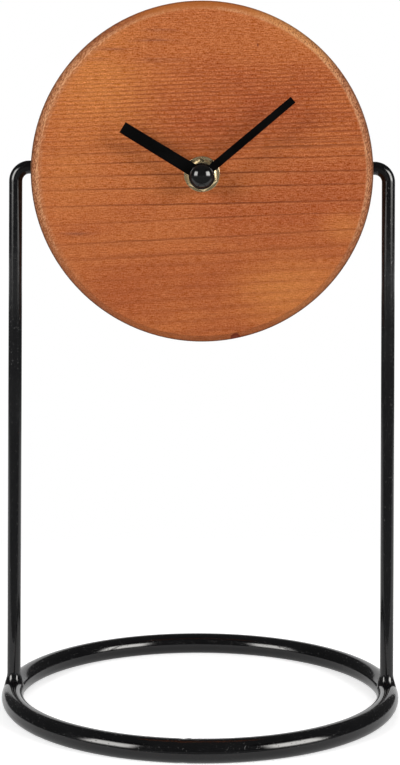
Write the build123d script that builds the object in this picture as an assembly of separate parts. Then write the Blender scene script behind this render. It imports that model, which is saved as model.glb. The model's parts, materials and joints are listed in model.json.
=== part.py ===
from build123d import *
import os
from math import acos, cos, pi, radians, sin, tan

os.makedirs("parts", exist_ok=True)

# Table clock: a round wooden dial that tilts between two bent rods on a base ring.
# All lengths are in millimetres and all angles in degrees. The clock faces -Y and +Z is up.

# Shared values
cut_overrun = 1.0
running_clearance = 0.05

# Base ring and uprights
ring_diameter = 140.0
ring_rod = 8.0
ring_flat_depth = 0.2
upright_rod = 5.0
upright_bend_radius = 5.2
rim_gap = 3.8
pivot_height = 200.4
pivot_depth = 14.0
pivot_end_gap = 0.6
weld_rise = 3.4
weld_drop = 1.7
weld_reach = 1.3
weld_lip = 0.15

# Wooden dial
dial_diameter = 127.4
dial_thickness = 20.0
dial_bevel = 2.8
dial_back_bevel = 1.6
dial_arris = 0.45
dial_lean = 7.0
pivot_rise = 1.35
pocket_web = 4.0
pocket_room = 1.0
pocket_corner = 4.0

# Movement housing
case_width = 56.0
case_height = 56.0
case_depth = 15.0
case_top_rise = 24.0
case_corner = 3.0
case_wall = 1.2
cover_thickness = 1.4
partition_wall = 1.0
pillar_diameter = 3.0
pillar_inset = 5.0
pillar_low_drop = 4.0
post_diameter = 3.0
clip_width = 5.0
clip_depth = 2.6
clip_thickness = 0.9
clip_top_offset = 18.0

# Bush, washers and nut
bush_diameter = 8.0
bush_collar_diameter = 11.0
bush_bore_room = 0.2
bush_lead = 0.6
bush_thread_rise = 0.8
rubber_diameter = 20.0
rubber_thickness = 0.8
washer_diameter = 13.4
washer_thickness = 0.6
nut_across_flats = 10.8
nut_thickness = 2.6
nut_bevel_width = 0.8
nut_bevel_height = 0.5
nut_turn = 8.0

# Hands and centre cap
hour_hand_angle = 301.3
hour_hand_length = 34.0
hour_hand_root = 4.7
hour_hand_tip = 4.4
hour_hand_thickness = 0.45
hour_hub_diameter = 9.2
hour_collar_diameter = 6.8
hour_collar_length = 1.8
minute_hand_angle = 49.6
minute_hand_length = 43.4
minute_hand_root = 3.1
minute_hand_tip = 2.7
minute_hand_thickness = 0.4
minute_hub_diameter = 9.5
minute_collar_diameter = 5.0
minute_collar_length = 1.4
hand_gap = 0.9
cap_flange_diameter = 8.9
cap_flange_thickness = 0.5
cap_dome_diameter = 8.2
cap_dome_height = 2.1
cap_gap = 0.3
cap_pin_depth = 1.6

# Arbors
hour_tube_diameter = 5.0
minute_tube_diameter = 3.2
clutch_seat_diameter = 2.6
clutch_clearance = 0.02
minute_pivot_diameter = 2.2
second_pin_diameter = 1.0
pivot_pin_diameter = 0.8
setting_arbor_diameter = 1.6
pivot_pin_depth = 1.6

# Gear teeth: the pinion of each pair is made larger and its wheel smaller by the shift
pressure_angle = radians(20.0)
addendum_share = 0.8
dedendum_share = 1.1
pinion_shift_share = 0.4
wheel_shift_share = -0.4
backlash_share = 0.16
cannon_teeth = 12
motion_wheel_teeth = 36
motion_pinion_teeth = 12
hour_wheel_teeth = 48
second_pinion_teeth = 8
third_wheel_teeth = 60
third_pinion_teeth = 8
centre_wheel_teeth = 64
step_pinion_teeth = 8
second_wheel_teeth = 48
rotor_pinion_teeth = 8
step_wheel_teeth = 40

# Gear places: distances between axes, and their directions seen from the front
motion_distance = 10.0
motion_direction = 180.0
third_distance = 9.0
third_direction = -20.0
step_distance = 7.56
step_direction = 75.0
rotor_distance = 7.2
rotor_direction = 30.0
wheel_thickness = 0.8
motion_thickness = 1.0
wheel_gap = 0.4
plate_thickness = 1.0
plate_room = 0.2

# Stepping motor
magnet_diameter = 5.0
magnet_length = 2.2
magnet_gap = 0.4
stator_hole_diameter = 6.4
stator_ring_diameter = 10.4
stator_thickness = 1.0
stator_bar_width = 4.2
stator_leg_width = 4.0
stator_left_room = 9.0
stator_right_room = 1.8
stator_post_room = 0.4
core_width = 3.5
core_thickness = 1.0
coil_diameter = 5.4
coil_end_room = 1.0
coil_wall_room = 0.15

# Circuit board and what is on it
board_height = 6.0
board_thickness = 1.0
board_drop = 7.0
crystal_diameter = 2.0
crystal_length = 6.0
crystal_offset = 15.0
chip_diameter = 5.0
chip_height = 1.1
chip_offset = 4.0
chip_round = 0.4

# Battery and its contacts
battery_diameter = 14.2
battery_round = 0.6
battery_nub_diameter = 5.5
battery_nub_length = 1.3
battery_room = 0.2
contact_thickness = 0.4
contact_width = 9.6
contact_back_room = 0.3
contact_bow_rise = 2.3
contact_low_room = 1.5
contact_bow_half = 5.5
contact_notch_room = 0.3

# Setting knob
knob_diameter = 9.0
knob_thickness = 3.0
knob_gap = 0.4
knob_flutes = 24
knob_flute_depth = 0.35
knob_edge_round = 0.5

# Places along the dial's own axis, which points out of its face; zero is half its thickness
face_level = dial_thickness / 2
pocket_floor_level = face_level - pocket_web
case_front_level = pocket_floor_level - rubber_thickness
case_inner_level = case_front_level - case_wall
case_back_level = case_front_level - case_depth
cover_inner_level = case_back_level + cover_thickness
washer_front_level = face_level + washer_thickness
nut_front_level = washer_front_level + nut_thickness
bush_front_level = nut_front_level + bush_thread_rise
hour_wheel_level = case_inner_level - wheel_gap - motion_thickness
cannon_level = hour_wheel_level - wheel_gap - motion_thickness
centre_wheel_level = cannon_level - wheel_gap - wheel_thickness
plate_front_level = centre_wheel_level - wheel_gap
plate_back_level = plate_front_level - plate_thickness
third_wheel_level = plate_back_level - wheel_gap - wheel_thickness
second_wheel_level = third_wheel_level - wheel_gap - wheel_thickness
step_wheel_level = second_wheel_level - wheel_gap - wheel_thickness
post_level = step_wheel_level - wheel_gap
magnet_back_level = step_wheel_level - magnet_gap - magnet_length
stator_front_level = step_wheel_level - magnet_gap - (magnet_length - stator_thickness) / 2
core_front_level = stator_front_level + core_thickness
coil_level = (stator_front_level + core_front_level) / 2
hour_collar_level = bush_front_level + hand_gap
hour_blade_level = hour_collar_level + hour_collar_length / 2
hour_tube_level = hour_collar_level + hour_collar_length
minute_collar_level = hour_tube_level + hand_gap
minute_blade_level = minute_collar_level + minute_collar_length - minute_hand_thickness
minute_tube_level = minute_collar_level + minute_collar_length
cap_level = minute_tube_level + cap_gap
battery_level = case_inner_level - battery_room - battery_diameter / 2


def around(distance, direction, start=(0, 0)):
    """A place at a distance and direction from a start, both seen from the front."""
    turn = radians(direction)
    return (start[0] + distance * cos(turn), start[1] + distance * sin(turn))


# Gear axes across the dial, measured from its centre with Y up the dial
centre_place = (0, 0)
motion_place = around(motion_distance, motion_direction)
third_place = around(third_distance, third_direction)
step_place = around(step_distance, step_direction)
rotor_place = around(rotor_distance, rotor_direction, step_place)

# Gear room, battery bay and what stands in them: the battery fills the bay between its contacts
room_half = case_width / 2 - case_wall
case_top = case_top_rise
case_bottom = case_top_rise - case_height
room_top = case_top - case_wall
bay_bottom = case_bottom + case_wall
bay_top = bay_bottom + battery_diameter + 2 * battery_room
room_bottom = bay_top + partition_wall
battery_middle = (bay_bottom + bay_top) / 2
board_high = -board_drop
board_low = board_high - board_height
board_middle = (board_low + board_high) / 2
contact_half_span = room_half - contact_thickness
battery_length = 2 * contact_half_span - battery_nub_length - contact_bow_rise
contact_low = bay_bottom + contact_low_room
contact_back = cover_inner_level + contact_back_room
pillar_across = room_half - pillar_inset + pillar_diameter / 2
pillar_places = [
    (side * pillar_across, height)
    for side in (-1, 1)
    for height in (-pillar_low_drop, room_top - pillar_inset + pillar_diameter / 2)
]
dial_place = Location((0, 0, pivot_height), (90 + dial_lean, 0, 0)) * Pos(0, -pivot_rise, 0)


def rod(diameter, low, high, place=(0, 0)):
    """A round rod along the dial's axis, from a low level to a high one."""
    base = Pos(place[0], place[1], low)
    return base * Cylinder(diameter / 2, high - low, align=(Align.CENTER, Align.CENTER, Align.MIN))


def tube(outer, inner, low, high, place=(0, 0)):
    """A round tube along the dial's axis, from a low level to a high one."""
    bore = rod(inner, low - cut_overrun, high + cut_overrun, place)
    return rod(outer, low, high, place) - bore


def block(left, right, bottom, top, low, high):
    """A block between two sides, two heights and two levels."""
    middle = Pos((left + right) / 2, (bottom + top) / 2, (low + high) / 2)
    return middle * Box(right - left, top - bottom, high - low)


def rounded_block(width, height, corner, middle_height, low, high):
    """A block with rounded corners, centred across the dial."""
    outline = Pos(0, middle_height, low) * RectangleRounded(width, height, corner)
    return extrude(outline, high - low, dir=(0, 0, 1))


def involute(angle):
    return tan(angle) - angle


def gear(teeth, distance, mate_teeth, shift_share, low, high, place, towards, tooth_first):
    """A toothed wheel whose pitch comes from the distance to its mate and both tooth counts.

    The wheel is turned so that a tooth, or else a gap, stands on the line towards its mate.
    """
    module = 2 * distance / (teeth + mate_teeth)
    pitch_radius = module * teeth / 2
    base_radius = pitch_radius * cos(pressure_angle)
    tip_radius = pitch_radius + module * (addendum_share + shift_share)
    root_radius = pitch_radius - module * (dedendum_share - shift_share)
    flank_foot = max(base_radius, root_radius)
    flank_radii = sorted({root_radius, flank_foot, (flank_foot + tip_radius) / 2, tip_radius})
    pitch_half = pi / (2 * teeth) + 2 * shift_share * tan(pressure_angle) / teeth
    pitch_half -= backlash_share / (2 * teeth)

    def half_angle(radius):
        flank = acos(base_radius / radius) if radius > base_radius else 0
        return pitch_half + involute(pressure_angle) - involute(flank)

    start = radians(towards) + (0 if tooth_first else pi / teeth)
    points = []
    for number in range(teeth):
        middle = start + 2 * pi * number / teeth
        for radius in flank_radii:
            turn = middle - half_angle(radius)
            points.append((radius * cos(turn), radius * sin(turn)))
        for radius in reversed(flank_radii):
            turn = middle + half_angle(radius)
            points.append((radius * cos(turn), radius * sin(turn)))
    face = make_face(Polyline(*points, close=True))
    return Pos(place[0], place[1], low) * extrude(face, high - low)


def pinion(teeth, distance, mate_teeth, low, high, place, towards):
    """The smaller gear of a pair, with a tooth on the line towards its mate."""
    return gear(teeth, distance, mate_teeth, pinion_shift_share, low, high, place, towards, True)


def wheel(teeth, distance, mate_teeth, low, high, place, towards):
    """The larger gear of a pair, with a gap on the line towards its mate."""
    return gear(teeth, distance, mate_teeth, wheel_shift_share, low, high, place, towards, False)


def save(name, shape):
    export_step(shape, f"parts/{name}.step")


def save_dial(name, shape):
    save(name, dial_place * shape)


# Stand: the base ring
ring_middle = ring_rod / 2 - ring_flat_depth
ring_torus = Pos(0, 0, ring_middle) * Torus(ring_diameter / 2, ring_rod / 2)
floor_side = ring_diameter + 2 * ring_rod
floor_cut = Box(floor_side, floor_side, ring_rod, align=(Align.CENTER, Align.CENTER, Align.MAX))
save("base_ring", ring_torus - floor_cut)


# Stand: one upright for each side, from the ring up to the dial's rim and bent inwards into it
def upright(side):
    foot = side * ring_diameter / 2
    shoulder = side * (dial_diameter / 2 + rim_gap + upright_rod / 2)
    inner = side * (dial_diameter / 2 - pivot_depth)
    corners = [(foot, 0, ring_middle), (shoulder, 0, pivot_height), (inner, 0, pivot_height)]
    path = FilletPolyline(*corners, radius=upright_bend_radius)
    section = Plane(origin=path @ 0, z_dir=path % 0) * Circle(upright_rod / 2)
    return sweep(section, path) - ring_torus


def weld(side):
    """A bead with a hollow flank round the foot of one upright."""
    inner = upright_rod / 2 - weld_lip
    top = (upright_rod / 2 + weld_lip, weld_rise)
    waist = (upright_rod / 2 + weld_reach / 3, weld_rise / 3)
    foot = (upright_rod / 2 + weld_reach, -weld_drop)
    flank = ThreePointArc(top, waist, foot)
    rest = Polyline(foot, (inner, -weld_drop), (inner, weld_rise), top)
    outline = make_face(Curve() + [flank, rest])
    bead = revolve(Plane.XZ * outline, Axis.Z)
    ring_top = ring_middle + ring_rod / 2
    return Pos(side * ring_diameter / 2, 0, ring_top) * bead - ring_torus - upright(side)


save("left_upright", upright(-1))
save("right_upright", upright(1))
save("upright_welds", Compound([weld(-1), weld(1)]))


# Wooden dial with its edge bevels, movement pocket, centre hole and pivot holes
def wood_dial():
    body = rod(dial_diameter, -face_level, face_level)
    body = chamfer(body.edges().group_by(Axis.Z)[-1], dial_bevel)
    body = chamfer(body.edges().group_by(Axis.Z)[0], dial_back_bevel)
    body = fillet(body.edges().filter_by(GeomType.CIRCLE), dial_arris)
    pocket = rounded_block(
        case_width + 2 * pocket_room,
        case_height + 2 * pocket_room,
        pocket_corner,
        (case_top + case_bottom) / 2,
        -face_level - cut_overrun,
        pocket_floor_level,
    )
    centre_hole = rod(bush_diameter + 2 * bush_bore_room, -face_level, face_level + cut_overrun)
    hole_depth = pivot_depth + pivot_end_gap + cut_overrun
    hole = Cylinder(upright_rod / 2 + running_clearance, hole_depth)
    hole_across = dial_diameter / 2 + cut_overrun - hole_depth / 2
    for side in (-1, 1):
        body -= Pos(side * hole_across, pivot_rise, 0) * Rot(0, 90, 0) * hole
    return body - pocket - centre_hole


save_dial("wood_dial", wood_dial())


# Movement housing: an open-backed case with a gear room above and a battery bay below
def case_outline(low, high):
    middle_height = (case_top + case_bottom) / 2
    return rounded_block(case_width, case_height, case_corner, middle_height, low, high)


def cover_side(low, high):
    """The share of the housing's outline that the back cover closes."""
    side = case_width + cut_overrun
    return block(-side, side, bay_top, case_top + cut_overrun, low, high)


def movement_case():
    back = case_back_level - cut_overrun
    body = case_outline(case_back_level, case_front_level)
    body -= block(-room_half, room_half, room_bottom, room_top, back, case_inner_level)
    body -= block(-room_half, room_half, bay_bottom, bay_top, back, case_inner_level)
    body -= cover_side(back, cover_inner_level)
    for side in (-1, 1):
        notch_edge = side * (contact_half_span - contact_notch_room)
        edges = sorted((notch_edge, side * room_half))
        high = contact_back + contact_width + contact_notch_room
        body -= block(*edges, bay_top - cut_overrun, room_bottom + cut_overrun, back, high)
    body -= rod(bush_collar_diameter, case_inner_level - cut_overrun, case_front_level + cut_overrun)
    pivot_hole = pivot_pin_diameter + 2 * running_clearance
    body -= rod(pivot_hole, case_inner_level, case_inner_level + pivot_pin_diameter, motion_place)
    for place in pillar_places:
        body += rod(pillar_diameter, plate_front_level, case_inner_level, place)
    return body


def movement_cover():
    body = case_outline(case_back_level, cover_inner_level)
    body &= cover_side(case_back_level - cut_overrun, cover_inner_level)
    clip_front = cover_inner_level + clip_depth
    clip_top = room_top - plate_room
    clip_left = -clip_top_offset - clip_width / 2
    clip_right = clip_left + clip_width
    clip_low = clip_top - clip_thickness
    body += block(clip_left, clip_right, clip_low, clip_top, cover_inner_level, clip_front)
    for side in (-1, 1):
        edges = sorted((side * (room_half - plate_room), side * (room_half - plate_room - clip_thickness)))
        body += block(*edges, -clip_width / 2, clip_width / 2, cover_inner_level, clip_front)
    for place in pillar_places:
        body += rod(pillar_diameter, cover_inner_level, plate_back_level, place)
    pivot_hole = pivot_pin_diameter + 2 * running_clearance
    for place in (centre_place, third_place, step_place):
        body += rod(post_diameter, cover_inner_level, post_level, place)
        body -= rod(pivot_hole, post_level - 2 * pivot_pin_depth, post_level + cut_overrun, place)
    rotor_hole_level = cover_inner_level - pivot_pin_diameter - running_clearance
    body -= rod(pivot_hole, rotor_hole_level, cover_inner_level + cut_overrun, rotor_place)
    arbor_hole = setting_arbor_diameter + 2 * running_clearance
    back = case_back_level - cut_overrun
    return body - rod(arbor_hole, back, cover_inner_level + cut_overrun, motion_place)


def middle_plate():
    """The plate between the two halves of the train, with the front pivot holes."""
    sides = contact_half_span - plate_room
    bottom = room_bottom + plate_room
    top = room_top - plate_room
    body = block(-sides, sides, bottom, top, plate_back_level, plate_front_level)
    holes = [
        (minute_pivot_diameter, centre_place),
        (setting_arbor_diameter, motion_place),
        (second_pin_diameter, third_place),
        (pivot_pin_diameter, step_place),
        (pivot_pin_diameter, rotor_place),
    ]
    for diameter, place in holes:
        bore = diameter + 2 * running_clearance
        body -= rod(bore, plate_back_level - cut_overrun, plate_front_level + cut_overrun, place)
    return body


save_dial("movement_case", movement_case())
save_dial("movement_cover", movement_cover())
save_dial("middle_plate", middle_plate())


# Bush, washers and nut that clamp the movement to the dial
def mounting_bush():
    body = rod(bush_diameter, case_inner_level, bush_front_level)
    body = chamfer(body.edges().group_by(Axis.Z)[-1], bush_lead)
    body += rod(bush_collar_diameter, case_inner_level, case_front_level)
    bore = hour_tube_diameter + 2 * running_clearance
    return body - rod(bore, case_inner_level - cut_overrun, bush_front_level + cut_overrun)


def hexagon(across_flats, level):
    flats = RegularPolygon(across_flats / 2, 6, major_radius=False, rotation=nut_turn + 30)
    return Pos(0, 0, level) * flats


def hex_nut():
    """A hexagon whose front edge is bevelled along the flats."""
    bevel_level = nut_front_level - nut_bevel_height
    base = hexagon(nut_across_flats, bevel_level)
    front = hexagon(nut_across_flats - 2 * nut_bevel_width, nut_front_level)
    body = extrude(hexagon(nut_across_flats, washer_front_level), bevel_level - washer_front_level)
    body += loft([base, front], ruled=True)
    return body - rod(bush_diameter, washer_front_level - cut_overrun, nut_front_level + cut_overrun)


washer_bore = bush_diameter + 2 * running_clearance
save_dial("mounting_bush", mounting_bush())
save_dial("rubber_washer", tube(rubber_diameter, washer_bore, case_front_level, pocket_floor_level))
save_dial("brass_washer", tube(washer_diameter, washer_bore, face_level, washer_front_level))
save_dial("hex_nut", hex_nut())


# Hands and centre cap
def hand(angle, length, root, tip, thickness, hub, level, collar, collar_low, collar_high, bore):
    """A straight tapered bar with a round hub, and a collar that grips its tube."""
    outline = Polyline((-root / 2, 0), (root / 2, 0), (tip / 2, length), (-tip / 2, length), close=True)
    blade = Pos(0, 0, level) * extrude(make_face(outline), thickness)
    blade += rod(hub, level, level + thickness)
    blade += rod(collar, collar_low, collar_high)
    blade -= rod(bore, collar_low - cut_overrun, collar_high + cut_overrun)
    return Rot(0, 0, -angle) * blade


hour_hand = hand(
    hour_hand_angle, hour_hand_length, hour_hand_root, hour_hand_tip, hour_hand_thickness,
    hour_hub_diameter, hour_blade_level,
    hour_collar_diameter, hour_collar_level, hour_tube_level, hour_tube_diameter,
)
minute_hand = hand(
    minute_hand_angle, minute_hand_length, minute_hand_root, minute_hand_tip, minute_hand_thickness,
    minute_hub_diameter, minute_blade_level,
    minute_collar_diameter, minute_collar_level, minute_tube_level, minute_tube_diameter,
)


def centre_cap():
    """A flanged dome, pressed on the seconds pin."""
    flange_top = cap_level + cap_flange_thickness
    half = cap_dome_diameter / 2
    globe_radius = (half**2 + cap_dome_height**2) / (2 * cap_dome_height)
    globe = Pos(0, 0, flange_top + cap_dome_height - globe_radius) * Sphere(globe_radius)
    dome = rod(cap_dome_diameter, flange_top, flange_top + cap_dome_height) & globe
    body = rod(cap_flange_diameter, cap_level, flange_top) + dome
    return body - rod(second_pin_diameter, cap_level - cut_overrun, cap_level + cap_pin_depth)


save_dial("hour_hand", hour_hand)
save_dial("minute_hand", minute_hand)
save_dial("centre_cap", centre_cap())

# Motion work: the minute arbor turns the motion wheel, and its pinion turns the hour wheel
hour_bore = minute_tube_diameter + 2 * running_clearance
hour_wheel_top = hour_wheel_level + motion_thickness
hour_wheel = wheel(
    hour_wheel_teeth, motion_distance, motion_pinion_teeth,
    hour_wheel_level, hour_wheel_top, centre_place, motion_direction,
)
hour_wheel += rod(hour_tube_diameter, hour_wheel_level, hour_tube_level)
hour_wheel -= rod(hour_bore, hour_wheel_level - cut_overrun, hour_tube_level + cut_overrun)
save_dial("hour_wheel", hour_wheel)

cannon_top = cannon_level + motion_thickness
minute_arbor = pinion(
    cannon_teeth, motion_distance, motion_wheel_teeth,
    cannon_level, cannon_top, centre_place, motion_direction,
)
minute_arbor += rod(minute_tube_diameter, cannon_top, minute_tube_level)
minute_arbor += rod(clutch_seat_diameter, plate_front_level + running_clearance, cannon_level)
minute_arbor += rod(minute_pivot_diameter, plate_back_level, plate_front_level + running_clearance)
pin_bore = second_pin_diameter + 2 * running_clearance
minute_arbor -= rod(pin_bore, plate_back_level - cut_overrun, minute_tube_level + cut_overrun)
save_dial("minute_arbor", minute_arbor)

back_direction = motion_direction + 180
motion_wheel = wheel(
    motion_wheel_teeth, motion_distance, cannon_teeth,
    cannon_level, cannon_top, motion_place, back_direction,
)
motion_wheel += pinion(
    motion_pinion_teeth, motion_distance, hour_wheel_teeth,
    cannon_top, hour_wheel_top, motion_place, back_direction,
)
knob_back_level = case_back_level - knob_gap - knob_thickness
motion_pin_level = case_inner_level + pivot_pin_diameter - running_clearance
motion_wheel += rod(pivot_pin_diameter, hour_wheel_top, motion_pin_level, motion_place)
motion_wheel += rod(setting_arbor_diameter, knob_back_level + knob_edge_round, cannon_level, motion_place)
save_dial("motion_wheel", motion_wheel)


def setting_knob():
    """A fluted knob on the rear end of the motion wheel's arbor."""
    knob_front_level = case_back_level - knob_gap
    body = rod(knob_diameter, knob_back_level, knob_front_level)
    body = fillet(body.edges().group_by(Axis.Z)[0], knob_edge_round)
    flute = rod(2 * knob_flute_depth, knob_back_level - cut_overrun, knob_front_level + cut_overrun)
    for number in range(knob_flutes):
        body -= Rot(0, 0, 360 * number / knob_flutes) * Pos(knob_diameter / 2, 0, 0) * flute
    bore = rod(setting_arbor_diameter, knob_back_level + knob_edge_round, knob_front_level + cut_overrun)
    return Pos(motion_place[0], motion_place[1], 0) * (body - bore)


save_dial("setting_knob", setting_knob())

# Going train: rotor, step wheel, second wheel, third wheel and centre wheel
second_wheel_top = second_wheel_level + wheel_thickness
third_wheel_top = third_wheel_level + wheel_thickness
step_wheel_top = step_wheel_level + wheel_thickness
centre_wheel_top = centre_wheel_level + wheel_thickness
pin_back_level = post_level - pivot_pin_depth

second_wheel = wheel(
    second_wheel_teeth, step_distance, step_pinion_teeth,
    second_wheel_level, second_wheel_top, centre_place, step_direction,
)
second_wheel += pinion(
    second_pinion_teeth, third_distance, third_wheel_teeth,
    second_wheel_top, third_wheel_top, centre_place, third_direction,
)
second_wheel += rod(second_pin_diameter, third_wheel_top, cap_level + cap_pin_depth)
second_wheel += rod(pivot_pin_diameter, pin_back_level, second_wheel_level)
save_dial("second_wheel", second_wheel)

third_back_direction = third_direction + 180
third_wheel = wheel(
    third_wheel_teeth, third_distance, second_pinion_teeth,
    third_wheel_level, third_wheel_top, third_place, third_back_direction,
)
third_wheel += rod(second_pin_diameter, third_wheel_top, centre_wheel_level, third_place)
third_wheel += pinion(
    third_pinion_teeth, third_distance, centre_wheel_teeth,
    centre_wheel_level, centre_wheel_top, third_place, third_back_direction,
)
third_wheel += rod(pivot_pin_diameter, pin_back_level, third_wheel_level, third_place)
save_dial("third_wheel", third_wheel)

clutch_bore = clutch_seat_diameter + 2 * clutch_clearance
centre_wheel = wheel(
    centre_wheel_teeth, third_distance, third_pinion_teeth,
    centre_wheel_level, centre_wheel_top, centre_place, third_direction,
)
centre_wheel -= rod(clutch_bore, centre_wheel_level - cut_overrun, centre_wheel_top + cut_overrun)
save_dial("centre_wheel", centre_wheel)

step_wheel = pinion(
    step_pinion_teeth, step_distance, second_wheel_teeth,
    step_wheel_top, second_wheel_top, step_place, step_direction + 180,
)
step_wheel += wheel(
    step_wheel_teeth, rotor_distance, rotor_pinion_teeth,
    step_wheel_level, step_wheel_top, step_place, rotor_direction,
)
step_wheel += rod(pivot_pin_diameter, second_wheel_top, plate_front_level, step_place)
step_wheel += rod(pivot_pin_diameter, pin_back_level, step_wheel_level, step_place)
save_dial("step_wheel", step_wheel)

rotor_pinion = pinion(
    rotor_pinion_teeth, rotor_distance, step_wheel_teeth,
    step_wheel_level, step_wheel_top, rotor_place, rotor_direction + 180,
)
rotor_pinion += rod(pivot_pin_diameter, step_wheel_top, plate_front_level, rotor_place)
rotor_tail_level = cover_inner_level - pivot_pin_diameter
rotor_pinion += rod(pivot_pin_diameter, rotor_tail_level, step_wheel_level, rotor_place)
save_dial("rotor_pinion", rotor_pinion)

magnet_front_level = step_wheel_level - magnet_gap
rotor_magnet = tube(
    magnet_diameter, pivot_pin_diameter, magnet_back_level, magnet_front_level, rotor_place
)
save_dial("rotor_magnet", rotor_magnet)

# Stepping motor: the stator round the rotor, and the coil on its core across the legs
stator_back_level = stator_front_level - stator_thickness
core_top = room_top - plate_room - (coil_diameter - core_width) / 2 - coil_wall_room
core_bottom = core_top - core_width
coil_middle = (core_top + core_bottom) / 2
pillar_edge = pillar_across - pillar_diameter / 2
stator_left = stator_left_room - pillar_edge
stator_right = pillar_edge - stator_right_room
bar_bottom = rotor_place[1] - stator_bar_width / 3
bar_top = bar_bottom + stator_bar_width


def stator():
    low = stator_back_level
    high = stator_front_level
    body = block(stator_left, stator_right, bar_bottom, bar_top, low, high)
    body += rod(stator_ring_diameter, low, high, rotor_place)
    left_leg = stator_left + stator_leg_width
    right_leg = stator_right - stator_leg_width
    body += block(stator_left, left_leg, bar_bottom, core_top, low, high)
    body += block(right_leg, stator_right, bar_bottom, core_top, low, high)
    post_hole = post_diameter + 2 * stator_post_room
    body -= rod(post_hole, low - cut_overrun, high + cut_overrun, step_place)
    return body - rod(stator_hole_diameter, low - cut_overrun, high + cut_overrun, rotor_place)


coil_core = block(stator_left, stator_right, core_bottom, core_top, stator_front_level, core_front_level)
coil_left = stator_left + stator_leg_width + coil_end_room
coil_right = stator_right - stator_leg_width - coil_end_room
coil_length = coil_right - coil_left
coil_winding = Pos((coil_left + coil_right) / 2, coil_middle, coil_level) * Rot(0, 90, 0) * Cylinder(
    coil_diameter / 2, coil_length
)
save_dial("stator", stator())
save_dial("coil_core", coil_core)
save_dial("coil_winding", coil_winding - coil_core)

# Circuit board on the inside of the back cover, with its crystal and chip
board_front_level = cover_inner_level + board_thickness
circuit_board = block(
    -contact_half_span, contact_half_span, board_low, board_high, cover_inner_level, board_front_level
)
crystal_level = board_front_level + crystal_diameter / 2
quartz_crystal = Pos(-crystal_offset, board_middle, crystal_level) * Rot(0, 90, 0) * Cylinder(
    crystal_diameter / 2, crystal_length
)
chip_top_level = board_front_level + chip_height
driver_chip = rod(chip_diameter, board_front_level, chip_top_level, (-chip_offset, board_middle))
driver_chip = fillet(driver_chip.edges().group_by(Axis.Z)[-1], chip_round)
save_dial("circuit_board", circuit_board)
save_dial("quartz_crystal", quartz_crystal)
save_dial("driver_chip", driver_chip)

# Battery in its bay, between a flat contact and a bowed one
battery_right = contact_half_span - battery_nub_length
battery_left = battery_right - battery_length
battery_axis = Pos(0, battery_middle, battery_level)
can_middle = (battery_left + battery_right) / 2
battery_can = Rot(0, 90, 0) * Cylinder(battery_diameter / 2, battery_length)
battery_can = fillet(battery_can.edges().filter_by(GeomType.CIRCLE), battery_round)
nub_middle = battery_right + battery_nub_length / 2
battery_nub = Rot(0, 90, 0) * Cylinder(battery_nub_diameter / 2, battery_nub_length)
battery = battery_axis * (Pos(can_middle, 0, 0) * battery_can + Pos(nub_middle, 0, 0) * battery_nub)
save_dial("battery", battery)


def contact_strip(side):
    """A flat strip on one side wall, from the battery bay up to the circuit board."""
    edges = sorted((side * contact_half_span, side * room_half))
    return block(*edges, contact_low, board_high, contact_back, contact_back + contact_width)


def contact_bow():
    """A bowed spring leaf that bears on the flat end of the battery."""
    foot = -contact_half_span
    ends = (battery_middle - contact_bow_half, battery_middle + contact_bow_half)
    outer = ThreePointArc((foot, ends[0]), (battery_left, battery_middle), (foot, ends[1]))
    inner_ends = (ends[0] + contact_thickness, ends[1] - contact_thickness)
    inner_crest = (battery_left - contact_thickness, battery_middle)
    inner = ThreePointArc((foot, inner_ends[0]), inner_crest, (foot, inner_ends[1]))
    low_step = Line((foot, ends[0]), (foot, inner_ends[0]))
    high_step = Line((foot, ends[1]), (foot, inner_ends[1]))
    face = make_face(Curve() + [outer, inner, low_step, high_step])
    return Pos(0, 0, contact_back) * extrude(face, contact_width)


save_dial("positive_contact", contact_strip(1))
save_dial("negative_contact", contact_strip(-1) + contact_bow())
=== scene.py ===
"""Table clock: a round wooden dial that tilts between two bent black rods on a black ring."""
import json
import logging
from dataclasses import dataclass, field
from enum import Enum
from math import asin, atan2, cos, pi, radians, sin, sqrt
from typing import Callable

import bmesh
import bpy
from mathutils import Matrix, Vector


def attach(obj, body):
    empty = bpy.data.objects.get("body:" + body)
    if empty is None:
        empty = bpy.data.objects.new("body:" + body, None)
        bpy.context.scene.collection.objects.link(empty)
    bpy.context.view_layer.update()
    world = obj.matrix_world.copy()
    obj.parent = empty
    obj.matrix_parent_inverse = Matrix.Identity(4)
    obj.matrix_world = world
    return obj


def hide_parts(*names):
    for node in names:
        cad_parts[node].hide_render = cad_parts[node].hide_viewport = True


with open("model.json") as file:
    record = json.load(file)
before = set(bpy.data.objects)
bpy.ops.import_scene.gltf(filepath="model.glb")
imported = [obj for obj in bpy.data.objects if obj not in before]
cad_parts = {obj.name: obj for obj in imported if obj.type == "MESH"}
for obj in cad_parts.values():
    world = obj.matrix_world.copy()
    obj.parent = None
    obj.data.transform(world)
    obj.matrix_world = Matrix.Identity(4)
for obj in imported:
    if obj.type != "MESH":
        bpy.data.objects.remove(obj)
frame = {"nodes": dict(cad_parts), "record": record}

LOG = logging.getLogger("table_clock")
IMAGE_WIDTH, IMAGE_HEIGHT = 400, 765

# one mm in metres, and the sizes in mm that several pieces share
MM = 0.001
PIVOT_HEIGHT = 200.4
FACE_LEVEL = 10.0
EDGE_ROUND = 0.06

Socket = bpy.types.NodeSocket
Piece = bpy.types.Object
Plug = Socket | float | tuple
Point = tuple[float, float, float]
Colour = tuple[float, float, float]
Rings = list[tuple[float, float]]

WHITE: Colour = (1.0, 1.0, 1.0)
WOOD_AMBER: Colour = (0.440, 0.129, 0.039)
WOOD_RED: Colour = (0.356, 0.087, 0.0285)
WOOD_GOLD: Colour = (0.530, 0.182, 0.049)


def grey(level: float) -> Colour:
    """Gives a plain grey."""
    return level, level, level


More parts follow.
